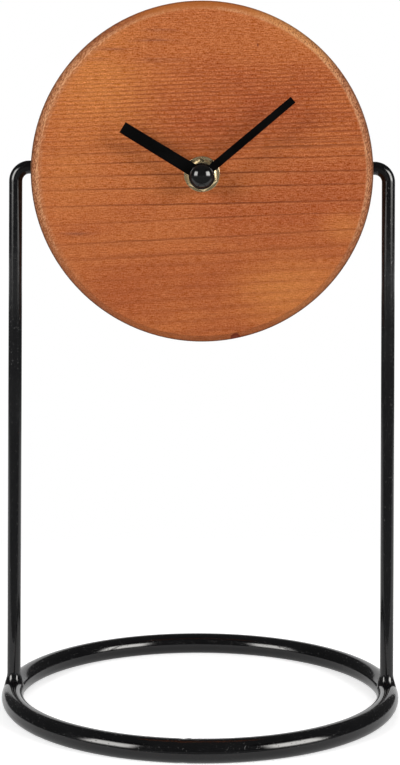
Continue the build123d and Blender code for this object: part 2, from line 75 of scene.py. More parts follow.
class Body(Enum):
    """The bodies of the clock that new pieces ride on."""

    STAND = "stand"
    DIAL = "dial"
    MINUTES = "minutes"
    HOURS = "hours"
    SECONDS = "seconds"


class Element(Enum):
    """What an edit-mode selection is made of."""

    VERT = (True, False, False)
    FACE = (False, False, True)


# shader nodes


class Web:
    """The nodes of one material, world or node group, put down and linked in short steps."""

    def __init__(self, tree: bpy.types.NodeTree) -> None:
        """Works on one node tree."""
        self.tree = tree

    @classmethod
    def fresh(cls, owner: bpy.types.ID) -> "Web":
        """Clears the nodes of a material or world.

        Args:
            owner: The material or world.

        Returns:
            Its empty web.
        """
        owner.use_nodes = True
        owner.node_tree.nodes.clear()
        return cls(owner.node_tree)

    def feed(self, socket: Socket, value: Plug) -> None:
        """Links or sets one input.

        Args:
            socket: The input.
            value: An output to link, or a plain value.
        """
        if isinstance(value, Socket):
            self.tree.links.new(value, socket)
        elif isinstance(value, tuple) and len(value) == 3 and socket.type == "RGBA":
            socket.default_value = (*value, 1.0)
        else:
            socket.default_value = value

    def put(self, kind: str, plugs: dict | None = None, **settings) -> bpy.types.Node:
        """Puts down one node.

        Args:
            kind: The node's type.
            plugs: Values or outputs for its inputs, by name or number.
            **settings: Properties of the node itself.

        Returns:
            The node.
        """
        node = self.tree.nodes.new(kind)
        for name, value in settings.items():
            setattr(node, name, value)
        for name, value in (plugs or {}).items():
            self.feed(node.inputs[name], value)
        return node

    def math(self, operation: str, *numbers: Plug) -> Socket:
        """Works out one number from one, two or three others."""
        return self.put("ShaderNodeMath", dict(enumerate(numbers)), operation=operation).outputs[0]

    def times(self, *factors: Plug) -> Plug:
        """Multiplies numbers.

        Args:
            *factors: The numbers.

        Returns:
            The product's output, or the number itself where there is only one.
        """
        product = factors[0]
        for factor in factors[1:]:
            product = self.math("MULTIPLY", product, factor)
        return product

    def add(self, base: Plug, value: Plug, factor: Plug = 1.0) -> Socket:
        """Adds a number, times a factor, to a base."""
        return self.math("MULTIPLY_ADD", value, factor, base)

    def wave(self, turns: Plug) -> Socket:
        """Gives a smooth wave between 0 and 1, once for each turn."""
        return self.add(0.5, self.math("SINE", self.times(turns, 2 * pi)), 0.5)

    def vector(self, operation: str, *vectors: Plug) -> Socket:
        """Works out one vector, or a length."""
        node = self.put("ShaderNodeVectorMath", dict(enumerate(vectors)), operation=operation)
        return node.outputs["Value" if operation == "LENGTH" else "Vector"]

    def stretch(self, place: Plug, factors: Point) -> Socket:
        """Multiplies coordinates by one factor for each axis."""
        return self.vector("MULTIPLY", place, factors)

    def scaled(self, value: Plug, share: Plug) -> Socket:
        """Multiplies a colour by one number."""
        node = self.put("ShaderNodeVectorMath", {0: value, "Scale": share}, operation="SCALE")
        return node.outputs["Vector"]

    def split(self, place: Plug) -> list[Socket]:
        """Gives the three numbers of a vector."""
        return list(self.put("ShaderNodeSeparateXYZ", {0: place}).outputs)

    def reach(self, place: Plug, factors: Point = (1.0, 1.0, 0.0)) -> Socket:
        """Gives the distance from the zero, with one factor for each axis."""
        return self.vector("LENGTH", self.stretch(place, factors))

    def blend(self, share: Plug, first: Plug, second: Plug) -> Socket:
        """Blends two colours, by the share of the second."""
        return self.put("ShaderNodeMix", {0: share, 6: first, 7: second}, data_type="RGBA").outputs[2]

    def stain(self, colour: Plug, tint: Plug, *shares: Plug) -> Socket:
        """Blends a tint into a colour, by the product of some shares."""
        return self.blend(self.times(*shares), colour, tint)

    def step(self, value: Plug, low: float, high: float, start: float = 0.0, end: float = 1.0) -> Socket:
        """Turns a value into a soft step from low to high, which goes from start to end."""
        plugs = {0: value, 1: low, 2: high, 3: start, 4: end}
        return self.put("ShaderNodeMapRange", plugs, interpolation_type="SMOOTHSTEP").outputs[0]

    def noise(self, place: Plug, scale: Plug = 1.0, detail: float = 2.0, rough: float = 0.5) -> Socket:
        """Gives cloudy values about one half, with some finer layers of some strength."""
        plugs = {"Vector": place, "Scale": scale, "Detail": detail, "Roughness": rough}
        return self.put("ShaderNodeTexNoise", plugs).outputs["Fac"]

    def streaks(self, place: Plug, factors: Point, detail: float = 2.0, rough: float = 0.5) -> Socket:
        """Gives cloudy values that are drawn out, by the clouds per unit along each axis."""
        return self.noise(self.stretch(place, factors), 1.0, detail, rough)

    def spot(self, place: Plug, middle: tuple, reach: tuple, full: float = 0.0) -> Socket:
        """Gives a round or oval mask on the dial.

        Args:
            place: Dial coordinates in mm.
            middle: Middle of the spot.
            reach: Half width and half height.
            full: Share of the spot that is fully covered.

        Returns:
            The mask's output, 1 in the middle.
        """
        offset = self.vector("SUBTRACT", place, (*middle, 0.0))
        distance = self.reach(offset, (1 / reach[0], 1 / reach[1], 0.0))
        return self.step(distance, full, 1.0, 1.0, 0.0)

    def relief(self, height: Plug, depth: float) -> Socket:
        """Turns a height into a normal, where one unit of height is depth metres."""
        return self.put("ShaderNodeBump", {"Height": height, "Distance": depth, "Strength": 1.0}).outputs[0]

    def glow(self, strength: Plug, colour: Colour = WHITE) -> bpy.types.Node:
        """Puts down a glowing shader."""
        return self.put("ShaderNodeEmission", {"Color": colour, "Strength": strength})

    def surface(self, shader: bpy.types.Node, owner: str = "Material") -> None:
        """Makes a shader the surface of the material, or of the World."""
        self.put("ShaderNodeOutput" + owner, {"Surface": shader.outputs[0]})


class Effect:
    """A surface effect for finishes to share: a node group that takes a place and some numbers."""

    name: str
    numbers: dict[str, float] = {}

    @classmethod
    def wire(cls, web: Web, given: bpy.types.NodeOutputs) -> dict[str, Socket]:
        """Gives what the effect puts out, by name; each effect has its own."""
        raise NotImplementedError

    @classmethod
    def group(cls) -> bpy.types.NodeTree:
        """Makes the node group, once.

        Returns:
            The node group.
        """
        if cls.name in bpy.data.node_groups:
            return bpy.data.node_groups[cls.name]
        tree = bpy.data.node_groups.new(cls.name, "ShaderNodeTree")
        web, sockets = Web(tree), tree.interface
        sockets.new_socket(name="Place", in_out="INPUT", socket_type="NodeSocketVector")
        for label, value in cls.numbers.items():
            number = sockets.new_socket(name=label, in_out="INPUT", socket_type="NodeSocketFloat")
            number.default_value = value
        results = cls.wire(web, web.put("NodeGroupInput").outputs)
        for label in results:
            kind = "NodeSocketColor" if label == "Colour" else "NodeSocketFloat"
            sockets.new_socket(name=label, in_out="OUTPUT", socket_type=kind)
        web.put("NodeGroupOutput", results)
        return tree

    @classmethod
    def lay(cls, web: Web, plugs: dict[str, Plug]) -> bpy.types.NodeOutputs:
        """Places the effect in a material, fed by name, and gives its outputs."""
        return web.put("ShaderNodeGroup", plugs, node_tree=cls.group()).outputs


class FineSkin(Effect):
    """Fine relief with slow cloudy unevenness and specks, for coats and mouldings."""

    name = "fine_skin"
    numbers = {"Grain": 900.0, "Cloud": 60.0, "Nibs": 0.0}

    @classmethod
    def wire(cls, web: Web, given: bpy.types.NodeOutputs) -> dict[str, Socket]:
        """Wires the skin.

        Args:
            web: The group's web.
            given: The group's inputs.

        Returns:
            The relief, the slow change of tone and the specks.
        """
        place, grain = given["Place"], given["Grain"]
        peel = web.noise(place, grain, 2.0, 0.45)
        slow = web.noise(place, given["Cloud"], 3.0, 0.55)
        specks = web.step(web.noise(place, web.times(grain, 2.3), 1.0), 0.68, 0.78)
        relief = web.add(web.add(peel, slow, 0.35), specks, given["Nibs"])
        return {"Relief": relief, "Tone": web.step(slow, 0.25, 0.75), "Specks": specks}


class TurnedLines(Effect):
    """Fine rings about an axis with a dull mottle, for turned metal."""

    name = "turned_lines"
    numbers = {"Lines": 5.0}

    @classmethod
    def wire(cls, web: Web, given: bpy.types.NodeOutputs) -> dict[str, Socket]:
        """Wires the turning marks.

        Args:
            web: The group's web.
            given: The group's inputs.

        Returns:
            The relief, the mottle and the scratches.
        """
        place, lines = given["Place"], given["Lines"]
        radius = web.add(web.reach(place), web.noise(place, 0.6), 0.25)
        depth = web.split(place)[2]
        ring = web.put("ShaderNodeCombineXYZ", {0: web.times(radius, lines), 1: web.times(depth, lines)})
        mottle = web.step(web.noise(place, 0.30, 2.0, 0.4), 0.34, 0.78)
        scratches = web.step(web.streaks(place, (4.0, 0.35, 4.0)), 0.62, 0.72)
        relief = web.noise(ring.outputs[0], 1.0, 3.0, 0.6)
        return {"Relief": relief, "Mottle": mottle, "Scratches": scratches}


class CloseBands(Effect):
    """Close even bands across x with a little unevenness, for wound wire and sleeves."""

    name = "close_bands"
    numbers = {"Pitch": 4.0}

    @classmethod
    def wire(cls, web: Web, given: bpy.types.NodeOutputs) -> dict[str, Socket]:
        """Wires the bands.

        Args:
            web: The group's web.
            given: The group's inputs.

        Returns:
            The bands and a cloudy tone.
        """
        place = given["Place"]
        wander = web.add(web.split(place)[0], web.noise(place, 0.8), 0.18)
        bands = web.wave(web.times(wander, given["Pitch"]))
        return {"Bands": bands, "Tone": web.noise(place, 0.9, 3.0, 0.6)}


class Grain:
    """The steps that paint the dial's wood: growth lines along x, fibres, pores, end grain and one knot.

    Places are in mm on the dial. The face ends 60.9 mm from the middle, and the rim lies at 63.7 mm.
    """

    # change of the grain's height for each mm out of the face
    DIVE = 0.55
    # stretch and reach of each sway of the grain
    SWAYS = (((0.020, 0.02, 0.02), 1.2), ((0.055, 0.09, 0.08), 0.5), ((0.20, 0.5, 0.5), 0.13))
    # height, strength and half width of each single growth line
    GROWTH_LINES = ((11.3, 0.80, 0.45), (9.1, 0.85, 0.50), (5.0, 0.95, 0.48), (0.1, 1.00, 0.52),
                    (-4.9, 1.00, 0.50), (-11.0, 0.95, 0.50), (-16.3, 0.68, 0.52), (-23.6, 0.75, 0.60),
                    (-29.6, 0.40, 0.70))
    # a line is sharper above than below, by this share of its half width
    UPPER_SHARE = 0.7
    # the heights between which the growth lines lie
    LOWEST, HIGHEST = -40.0, 40.0
    # how far a pale line lies below its dark line, and the spacing of the faint wide lines
    PALE_DROP = 0.75
    WIDE_SPACING = 4.3
    # middle, reach and share of each golden and each red spot
    GOLD_SPOTS = (((-38, 34), (36, 34), 1.0), ((36, 52), (18, 8), 0.25), ((32, -44), (34, 20), 0.85),
                  ((53, -20), (13, 10), 0.55), ((-50, 4), (18, 26), 0.35))
    RED_SPOTS = (((44, -3), (34, 17), 0.85), ((-12, -36), (42, 12), 0.5), ((-25, 44), (22, 6), 0.35),
                 ((10, 6), (40, 10), 0.35), ((-30, -46), (32, 17), 0.75))
    # middle and reach of each smoky streak
    SMOKY_STREAKS = (((-33.0, 45.9), (13.0, 1.1)), ((-17.5, 49.2), (14.0, 1.2)), ((-15.5, 52.8), (11.0, 1.1)),
                     ((-15.0, 41.9), (16.0, 1.3)), ((-39.0, 42.2), (8.0, 0.9)), ((-46.0, -22.5), (10.0, 1.2)))

    def __init__(self, web: Web, place: Socket) -> None:
        """Works out what the steps share.

        Args:
            web: The group's web.
            place: Dial coordinates in mm.
        """
        self.web, self.place = web, place
        self.across, self.up, self.deep = web.split(place)
        self.fibre = web.streaks(place, (0.05, 1.7, 1.7), 3.0, 0.6)
        self.hair = web.streaks(place, (0.40, 2.6, 2.6), 2.0, 0.6)
        self.pores = web.step(web.streaks(place, (0.32, 3.1, 3.1), 1.0), 0.60, 0.70)
        self.dashes = web.step(web.streaks(place, (0.22, 1.1, 1.1)), 0.36, 0.56, 0.62, 1.0)
        leaning = web.put("ShaderNodeMapping", {"Vector": place, "Rotation": (0.0, 0.0, radians(-58.0))})
        self.dots = web.streaks(leaning.outputs[0], (0.75, 1.9, 1.9), 2.0, 0.55)
        self.height = self.grain_height()
        # the close lines come closer together towards the top
        self.close_wave = web.wave(web.times(self.height, web.add(0.478, self.height, 0.003)))
        broken = web.step(web.streaks(place, (0.035, 0.30, 0.2), 3.0, 0.6), 0.30, 0.58, 0.62, 1.0)
        from_left = web.step(self.across, -56.0, -20.0, 0.48, 1.0)
        to_right = web.step(self.across, 28.0, 56.0, 1.0, 0.75)
        self.dark_lines = web.times(self.growth_lines(self.height), broken, from_left, to_right)

    def grain_height(self) -> Socket:
        """Gives the height across the grain, whose lines rise to the right, most of all low down, and sway.

        Returns:
            The height's output, in mm.
        """
        web = self.web
        slope = web.step(self.up, 1.0, 6.0, 0.028, 0.040)
        for low, high, extra in ((-17.5, -12.0, 0.034), (-54.0, -34.0, 0.030)):
            slope = web.add(slope, web.step(self.up, low, high, extra, 0.0))
        height = web.add(self.up, web.times(self.across, slope), -1.0)
        height = web.add(height, web.add(self.deep, -FACE_LEVEL), self.DIVE)
        for factors, reach in self.SWAYS:
            height = web.add(height, web.add(-0.5, web.streaks(self.place, factors)), reach)
        return height

    def growth_lines(self, height: Socket) -> Socket:
        """Gives the single growth lines, each at its own height and strength.

        Args:
            height: The height across the grain, in mm.

        Returns:
            The output of the lines, from 0 to 1.
        """
        web, span = self.web, self.HIGHEST - self.LOWEST
        lines = web.put("ShaderNodeValToRGB", {0: web.times(web.add(height, -self.LOWEST), 1 / span)})
        lines.color_ramp.interpolation = "EASE"
        stops: Rings = []
        for level, weight, reach in self.GROWTH_LINES:
            stops += [(level - reach, 0.0), (level, weight), (level + reach * self.UPPER_SHARE, 0.0)]
        ramp = lines.color_ramp.elements
        while len(ramp) < len(stops):
            ramp.new(0.5)
        for element, (level, weight) in zip(ramp, sorted(stops)):
            element.position = (level - self.LOWEST) / span
            element.color = (*grey(weight), 1.0)
        return lines.outputs[0]

    def slow_colour(self) -> Socket:
        """Paints the slow changes of colour over the face.

        Returns:
            The colour's output.
        """
        web, place = self.web, self.place
        cloud = web.streaks(place, (0.016, 0.040, 0.03), 3.0, 0.55)
        colour = web.blend(web.step(cloud, 0.42, 0.74), WOOD_AMBER, WOOD_RED)
        for tint, spots in ((WOOD_GOLD, self.GOLD_SPOTS), (WOOD_RED, self.RED_SPOTS)):
            for middle, reach, share in spots:
                colour = web.stain(colour, tint, web.spot(place, middle, reach), share)
        broken = web.step(self.fibre, 0.38, 0.60, 0.20, 1.0)
        for middle, reach in self.SMOKY_STREAKS:
            colour = web.stain(colour, (0.225, 0.077, 0.043), web.spot(place, middle, reach), broken, 0.72)
        return colour

    def with_lines(self, colour: Socket) -> Socket:
        """Paints growth lines, fibres and pores.

        Args:
            colour: The colour below.

        Returns:
            The colour's output.
        """
        web, place, up = self.web, self.place, self.up

        # close fine lines over the upper half, faint wide ones below
        patches = web.step(web.streaks(place, (0.02, 0.45, 0.3)), 0.26, 0.56, 0.62, 1.0)
        patches = web.times(patches, self.dashes, web.step(self.across, -48.0, -6.0, 0.60, 1.0))
        close_share = web.times(web.step(up, 4.0, 11.0), web.step(up, 34.0, 46.0, 1.0, 0.22))
        close_lines = web.times(web.math("POWER", self.close_wave, 2.2), close_share, patches)
        wide_share = web.step(up, -34.0, -16.0, 1.0, 0.0)
        wide_wave = web.wave(web.times(self.height, 1 / self.WIDE_SPACING))
        wide_lines = web.times(web.math("POWER", wide_wave, 3.0), wide_share, patches)
        faint_lines = web.math("MAXIMUM", web.times(close_lines, 0.84), web.times(wide_lines, 0.34))

        # fibres and a fine texture lighten and darken the colour
        shade = web.add(web.add(0.80, close_share, 0.05), self.fibre, 0.40)
        grit = web.streaks(place, (1.7, 1.8, 1.8), 1.0, 0.6)
        texture = web.add(web.add(-0.925, self.hair), grit, 0.85)
        lighter = web.scaled((0.52, 0.25, 0.130), web.times(texture, web.step(up, -45.0, 40.0, 0.76, 1.14)))
        colour = web.vector("ADD", web.scaled(colour, shade), lighter)
        colour = web.vector("MAXIMUM", colour, (0.02, 0.008, 0.004))

        # each single dark line has a pale line under it
        pale_lines = self.growth_lines(web.add(self.PALE_DROP, self.height))
        colour = web.stain(colour, (0.23, 0.052, 0.018), faint_lines)
        colour = web.stain(colour, (0.56, 0.20, 0.075), pale_lines, 0.30)
        colour = web.stain(colour, (0.135, 0.028, 0.011), self.dark_lines, 0.98)
        return web.stain(colour, (0.17, 0.042, 0.017), self.pores, 0.34)

    def with_rim(self, colour: Socket) -> Socket:
        """Paints the bevel and the rim, with painted light along the top, a painted highlight on the arris
        and painted shade.

        Args:
            colour: The colour below.

        Returns:
            The colour's output.
        """
        web, place, across, deep, dots = self.web, self.place, self.across, self.deep, self.dots
        reach = web.reach(place)
        span = web.math("MAXIMUM", reach, 1.0)
        side = web.math("ABSOLUTE", web.math("DIVIDE", across, span))
        skyward = web.math("DIVIDE", self.up, span)
        rim = web.step(reach, 60.70, 61.20)

        # flecked end grain on both sides
        rubbed = web.times(web.step(reach, 58.6, 61.0), web.step(across, -45.0, -15.0, 1.0, 0.0))
        ends = web.times(web.math("MAXIMUM", rim, rubbed), web.step(side, 0.25, 0.75))
        ends = web.times(ends, web.step(skyward, -0.75, -0.10, 0.30, 1.0))
        colour = web.stain(colour, (0.33, 0.125, 0.055), ends, 0.45)
        colour = web.stain(colour, (0.68, 0.35, 0.185), ends, web.step(dots, 0.51, 0.60), 0.58)

        # painted light along the top of the rim: the top gets a colour of its own, set for the light from
        # above; the wood there is redder on its left and golden on its right
        top_light_share = web.times(rim, web.step(side, 0.30, 0.80, 1.0, 0.0), web.step(skyward, 0.3, 0.7))
        colour = web.stain(colour, (0.425, 0.125, 0.026), top_light_share, web.step(reach, 63.45, 63.65, 0.72, 0.20))
        reddened = web.times(web.spot(place, (-33.0, 52.0), (24.0, 16.0)), web.step(self.fibre, 0.38, 0.58))
        colour = web.stain(colour, (0.25, 0.06, 0.028), rim, reddened, 0.75)
        gilded = web.spot(place, (36.0, 50.0), (30.0, 22.0), 0.3)
        gilded = web.times(gilded, web.step(dots, 0.36, 0.56, 0.25, 1.0))
        colour = web.stain(colour, (0.68, 0.31, 0.105), rim, gilded, 0.75)

        # a painted highlight along the soft arris, broken up in places
        arris_highlight = web.times(web.step(reach, 60.3, 60.9), web.step(reach, 61.2, 62.5, 1.0, 0.0))
        arris_highlight = web.times(arris_highlight, web.step(skyward, -0.75, -0.05), web.step(dots, 0.36, 0.60, 0.30, 1.0))
        highlight_breaks = web.step(web.streaks(place, (0.12, 0.12, 0.12), 3.0, 0.6), 0.34, 0.62, 0.35, 1.0)
        colour = web.stain(colour, (0.72, 0.37, 0.18), arris_highlight, highlight_breaks, 0.60)

        # dark flecks and painted shade on the bevel, lines round the rim and a painted dark outer edge, which
        # stands in for the rim's side seen in shade
        flecks = web.times(ends, web.step(dots, 0.40, 0.49, 1.0, 0.0), web.step(reach, 61.0, 61.9, 0.35, 1.0))
        colour = web.stain(colour, (0.125, 0.045, 0.022), flecks, 0.66)
        shaded = web.times(web.step(reach, 61.8, 63.3), web.step(deep, 3.0, 6.0))
        shaded = web.times(shaded, web.step(side, 0.20, 0.75, 0.15, 1.0))
        colour = web.stain(colour, (0.16, 0.062, 0.034), shaded, 0.35)
        edge_lines = web.times(web.step(reach, 63.45, 63.65), web.step(side, 0.35, 0.85, 1.0, 0.2))
        edge_lines = web.times(edge_lines, web.math("POWER", self.close_wave, 2.0), self.dashes)
        colour = web.stain(colour, (0.20, 0.050, 0.018), edge_lines, 0.60)
        # painted shade: a dark line along the outer edge, weaker towards the top
        outer = web.times(web.step(reach, 62.95, 63.50), web.step(deep, 6.8, 7.5))
        outer = web.times(outer, web.step(skyward, 0.1, 0.8, 1.0, 0.60))
        return web.stain(colour, (0.078, 0.036, 0.019), outer, 0.85)

    def with_knot(self, colour: Socket) -> Socket:
        """Paints one small knot on the bevel and a dark fleck near the top.

        Args:
            colour: The colour below.

        Returns:
            The colour's output.
        """
        web = self.web
        cloudy = web.put("ShaderNodeTexNoise", {"Vector": self.place, "Scale": 0.9}).outputs["Color"]
        ragged = web.stretch(web.vector("SUBTRACT", cloudy, grey(0.5)), (0.7, 0.5, 0.0))
        ragged = web.vector("ADD", self.place, ragged)
        knot = web.times(web.spot(ragged, (12.75, -62.0), (2.05, 2.5), 0.75), web.step(self.deep, 4.8, 6.2))
        core = web.spot(ragged, (12.75, -62.1), (1.7, 1.9), 0.3)
        colour = web.stain(colour, web.blend(core, (0.155, 0.018, 0.004), (0.20, 0.040, 0.022)), knot, 0.92)
        fleck = web.spot(ragged, (20.3, 47.6), (0.5, 0.9), 0.3)
        return web.stain(colour, (0.16, 0.035, 0.02), fleck, 0.8)


class WoodFigure(Effect):
    """The dial's wood, which takes dial coordinates in mm."""

    name = "wood_figure"

    @classmethod
    def wire(cls, web: Web, given: bpy.types.NodeOutputs) -> dict[str, Socket]:
        """Wires the wood.

        Args:
            web: The group's web.
            given: The group's inputs.

        Returns:
            The colour, the gloss and the relief.
        """
        grain = Grain(web, given["Place"])
        colour = grain.with_knot(grain.with_rim(grain.with_lines(grain.slow_colour())))
        gloss = web.add(web.add(0.50, grain.fibre, 0.16), grain.pores, 0.14)
        relief = web.add(web.add(grain.fibre, grain.hair, 0.6), grain.dark_lines, -0.3)
        return {"Colour": colour, "Gloss": gloss, "Relief": web.add(relief, grain.pores, -0.8)}


# finishes


@dataclass(frozen=True)
class DialFrame:
    """Where the dial stands: its lean in degrees, and how far in mm the pivot lies above its middle."""

    lean: float = 7.0
    pivot_rise: float = 1.35

    @property
    def matrix(self) -> Matrix:
        """Takes dial coordinates, x right, y up the face and z out of it, to the clock.

        Returns:
            The matrix.
        """
        turn = Matrix.Rotation(radians(90 + self.lean), 4, "X")
        down = Matrix.Translation((0, -self.pivot_rise * MM, 0))
        return Matrix.Translation((0, 0, PIVOT_HEIGHT * MM)) @ turn @ down

    def place(self, web: Web, zero: Point = (0.0, 0.0, 0.0)) -> Socket:
        """Gives dial coordinates in mm inside a material.

        Args:
            web: The material's web.
            zero: Point of the dial, in mm, that becomes the zero.

        Returns:
            The coordinates' output.
        """
        source = web.put("ShaderNodeTexCoord").outputs["Object"]
        plugs = {"Vector": source, "Location": tuple(self.matrix @ (Vector(zero) * MM)),
                 "Rotation": (radians(90 + self.lean), 0.0, 0.0), "Scale": (MM, MM, MM)}
        return web.put("ShaderNodeMapping", plugs, vector_type="TEXTURE").outputs[0]


DIAL_FRAME = DialFrame()


@dataclass(frozen=True)
class Finish:
    """A finish: its name and the steps that every finish shares."""

    name: str

    def material(self) -> bpy.types.Material:
        """Makes the material, once.

        Returns:
            The material.
        """
        if self.name in bpy.data.materials:
            return bpy.data.materials[self.name]
        made = bpy.data.materials.new(self.name)
        web = Web.fresh(made)
        web.surface(web.put("ShaderNodeBsdfPrincipled", self.paint(web)))
        return made

    def paint(self, web: Web) -> dict[str, Plug]:
        """Gives what feeds the shader, by input; each finish has its own."""
        raise NotImplementedError


@dataclass(frozen=True)
class Coat(Finish):
    """Paint or moulded plastic: a base colour with fine skin and slow unevenness."""

    colour: Colour
    uneven: Colour
    specks: Colour
    smooth: float
    rough: float
    grain: float
    cloud: float
    depth: float
    specular: float = 0.5
    nibs: float = 0.0

    def paint(self, web: Web) -> dict[str, Plug]:
        """Gives colour, gloss and skin.

        Args:
            web: The material's web.

        Returns:
            What feeds the shader, by input.
        """
        source = web.put("ShaderNodeTexCoord").outputs["Object"]
        plugs = {"Place": source, "Grain": self.grain, "Cloud": self.cloud, "Nibs": self.nibs}
        skin = FineSkin.lay(web, plugs)
        tone = web.blend(skin["Tone"], self.colour, self.uneven)
        return {"Base Color": web.blend(skin["Specks"], tone, self.specks),
                "Roughness": web.step(skin["Tone"], 0.0, 1.0, self.smooth, self.rough),
                "Specular IOR Level": self.specular,
                "Normal": web.relief(skin["Relief"], self.depth)}


@dataclass(frozen=True)
class OiledWood(Finish):
    """The dial's oiled wood."""

    depth: float = 0.03 * MM
    specular: float = 0.06

    def paint(self, web: Web) -> dict[str, Plug]:
        """Gives the wood's figure.

        Args:
            web: The material's web.

        Returns:
            What feeds the shader, by input.
        """
        figure = WoodFigure.lay(web, {"Place": DIAL_FRAME.place(web)})
        return {"Base Color": figure["Colour"],
                "Roughness": figure["Gloss"],
                "Specular IOR Level": self.specular,
                "Normal": web.relief(figure["Relief"], self.depth)}


@dataclass(frozen=True)
class TurnedMetal(Finish):
    """Turned or stamped metal with fine lines and a dull mottle."""

    colour: Colour
    dull: Colour
    smooth: float
    rough: float
    lines: float
    depth: float

    def paint(self, web: Web) -> dict[str, Plug]:
        """Gives colour, gloss and turning lines.

        Args:
            web: The material's web.

        Returns:
            What feeds the shader, by input.
        """
        marks = TurnedLines.lay(web, {"Place": DIAL_FRAME.place(web), "Lines": self.lines})
        tone = web.blend(marks["Mottle"], self.colour, self.dull)
        return {"Base Color": web.stain(tone, self.colour, marks["Scratches"], 0.3),
                "Metallic": 1.0,
                "Roughness": web.step(marks["Mottle"], 0.0, 1.0, self.smooth, self.rough),
                "Normal": web.relief(marks["Relief"], self.depth)}


@dataclass(frozen=True)
class WoundWire(Finish):
    """Enamelled copper wire, wound in close turns along x."""

    pitch: float = 5.0
    depth: float = 0.05 * MM

    def paint(self, web: Web) -> dict[str, Plug]:
        """Gives the turns of wire, with painted shade in the grooves between them.

        Args:
            web: The material's web.

        Returns:
            What feeds the shader, by input.
        """
        turns = CloseBands.lay(web, {"Place": DIAL_FRAME.place(web), "Pitch": self.pitch})
        tone = web.blend(turns["Tone"], (0.55, 0.20, 0.08), (0.72, 0.33, 0.16))
        # the grooves between the turns are painted dark: painted shade
        return {"Base Color": web.blend(turns["Bands"], (0.16, 0.05, 0.02), tone),
                "Metallic": 0.8,
                "Roughness": web.step(turns["Tone"], 0.2, 0.8, 0.25, 0.42),
                "Normal": web.relief(turns["Bands"], self.depth)}


@dataclass(frozen=True)
class CellSleeve(Finish):
    """The battery: a plain dark sleeve with one grey band, and bare steel ends; sizes in mm."""

    zero: Point = (0.0, -23.5, -3.3)
    band_start: float = 12.8
    band_end: float = 20.05
    band_fade: float = 0.15
    bare_radius: float = 6.05
    pitch: float = 0.35
    depth: float = 0.02 * MM

    def paint(self, web: Web) -> dict[str, Plug]:
        """Gives the sleeve, its band and the bare ends.

        Args:
            web: The material's web.

        Returns:
            What feeds the shader, by input.
        """
        place = DIAL_FRAME.place(web, self.zero)
        tone = CloseBands.lay(web, {"Place": place, "Pitch": self.pitch})["Tone"]
        along, fade = web.split(place)[0], self.band_fade
        band = web.times(web.step(along, self.band_start, self.band_start + fade),
                         web.step(along, self.band_end - fade, self.band_end, 1.0, 0.0))
        around = web.reach(place, (0.0, 1.0, 1.0))
        bare = web.step(around, self.bare_radius, self.bare_radius + fade, 1.0, 0.0)
        sleeve = web.blend(tone, (0.020, 0.024, 0.032), (0.034, 0.038, 0.047))
        sleeve = web.blend(band, sleeve, web.blend(tone, (0.36, 0.37, 0.38), (0.44, 0.45, 0.46)))
        return {"Base Color": web.blend(bare, sleeve, (0.62, 0.62, 0.60)),
                "Metallic": web.times(bare, 0.95),
                "Roughness": web.step(tone, 0.2, 0.8, 0.28, 0.40),
                "Normal": web.relief(tone, self.depth)}


@dataclass(frozen=True)
class PaperBoard(Finish):
    """Brown phenolic board with a faint weave of paper fibres."""

    grain: float = 3.0
    cloud: float = 0.2
    depth: float = 0.02 * MM

    def paint(self, web: Web) -> dict[str, Plug]:
        """Gives the board's colour and fibres.

        Args:
            web: The material's web.

        Returns:
            What feeds the shader, by input.
        """
        place = DIAL_FRAME.place(web)
        fibres = web.streaks(place, (0.8, 4.0, 4.0), 3.0, 0.6)
        skin = FineSkin.lay(web, {"Place": place, "Grain": self.grain, "Cloud": self.cloud})
        tone = web.blend(web.step(fibres, 0.35, 0.7), (0.24, 0.15, 0.055), (0.36, 0.25, 0.11))
        return {"Base Color": web.stain(tone, (0.20, 0.12, 0.045), skin["Tone"], 0.35),
                "Roughness": web.step(fibres, 0.3, 0.7, 0.38, 0.52),
                "Normal": web.relief(fibres, self.depth)}


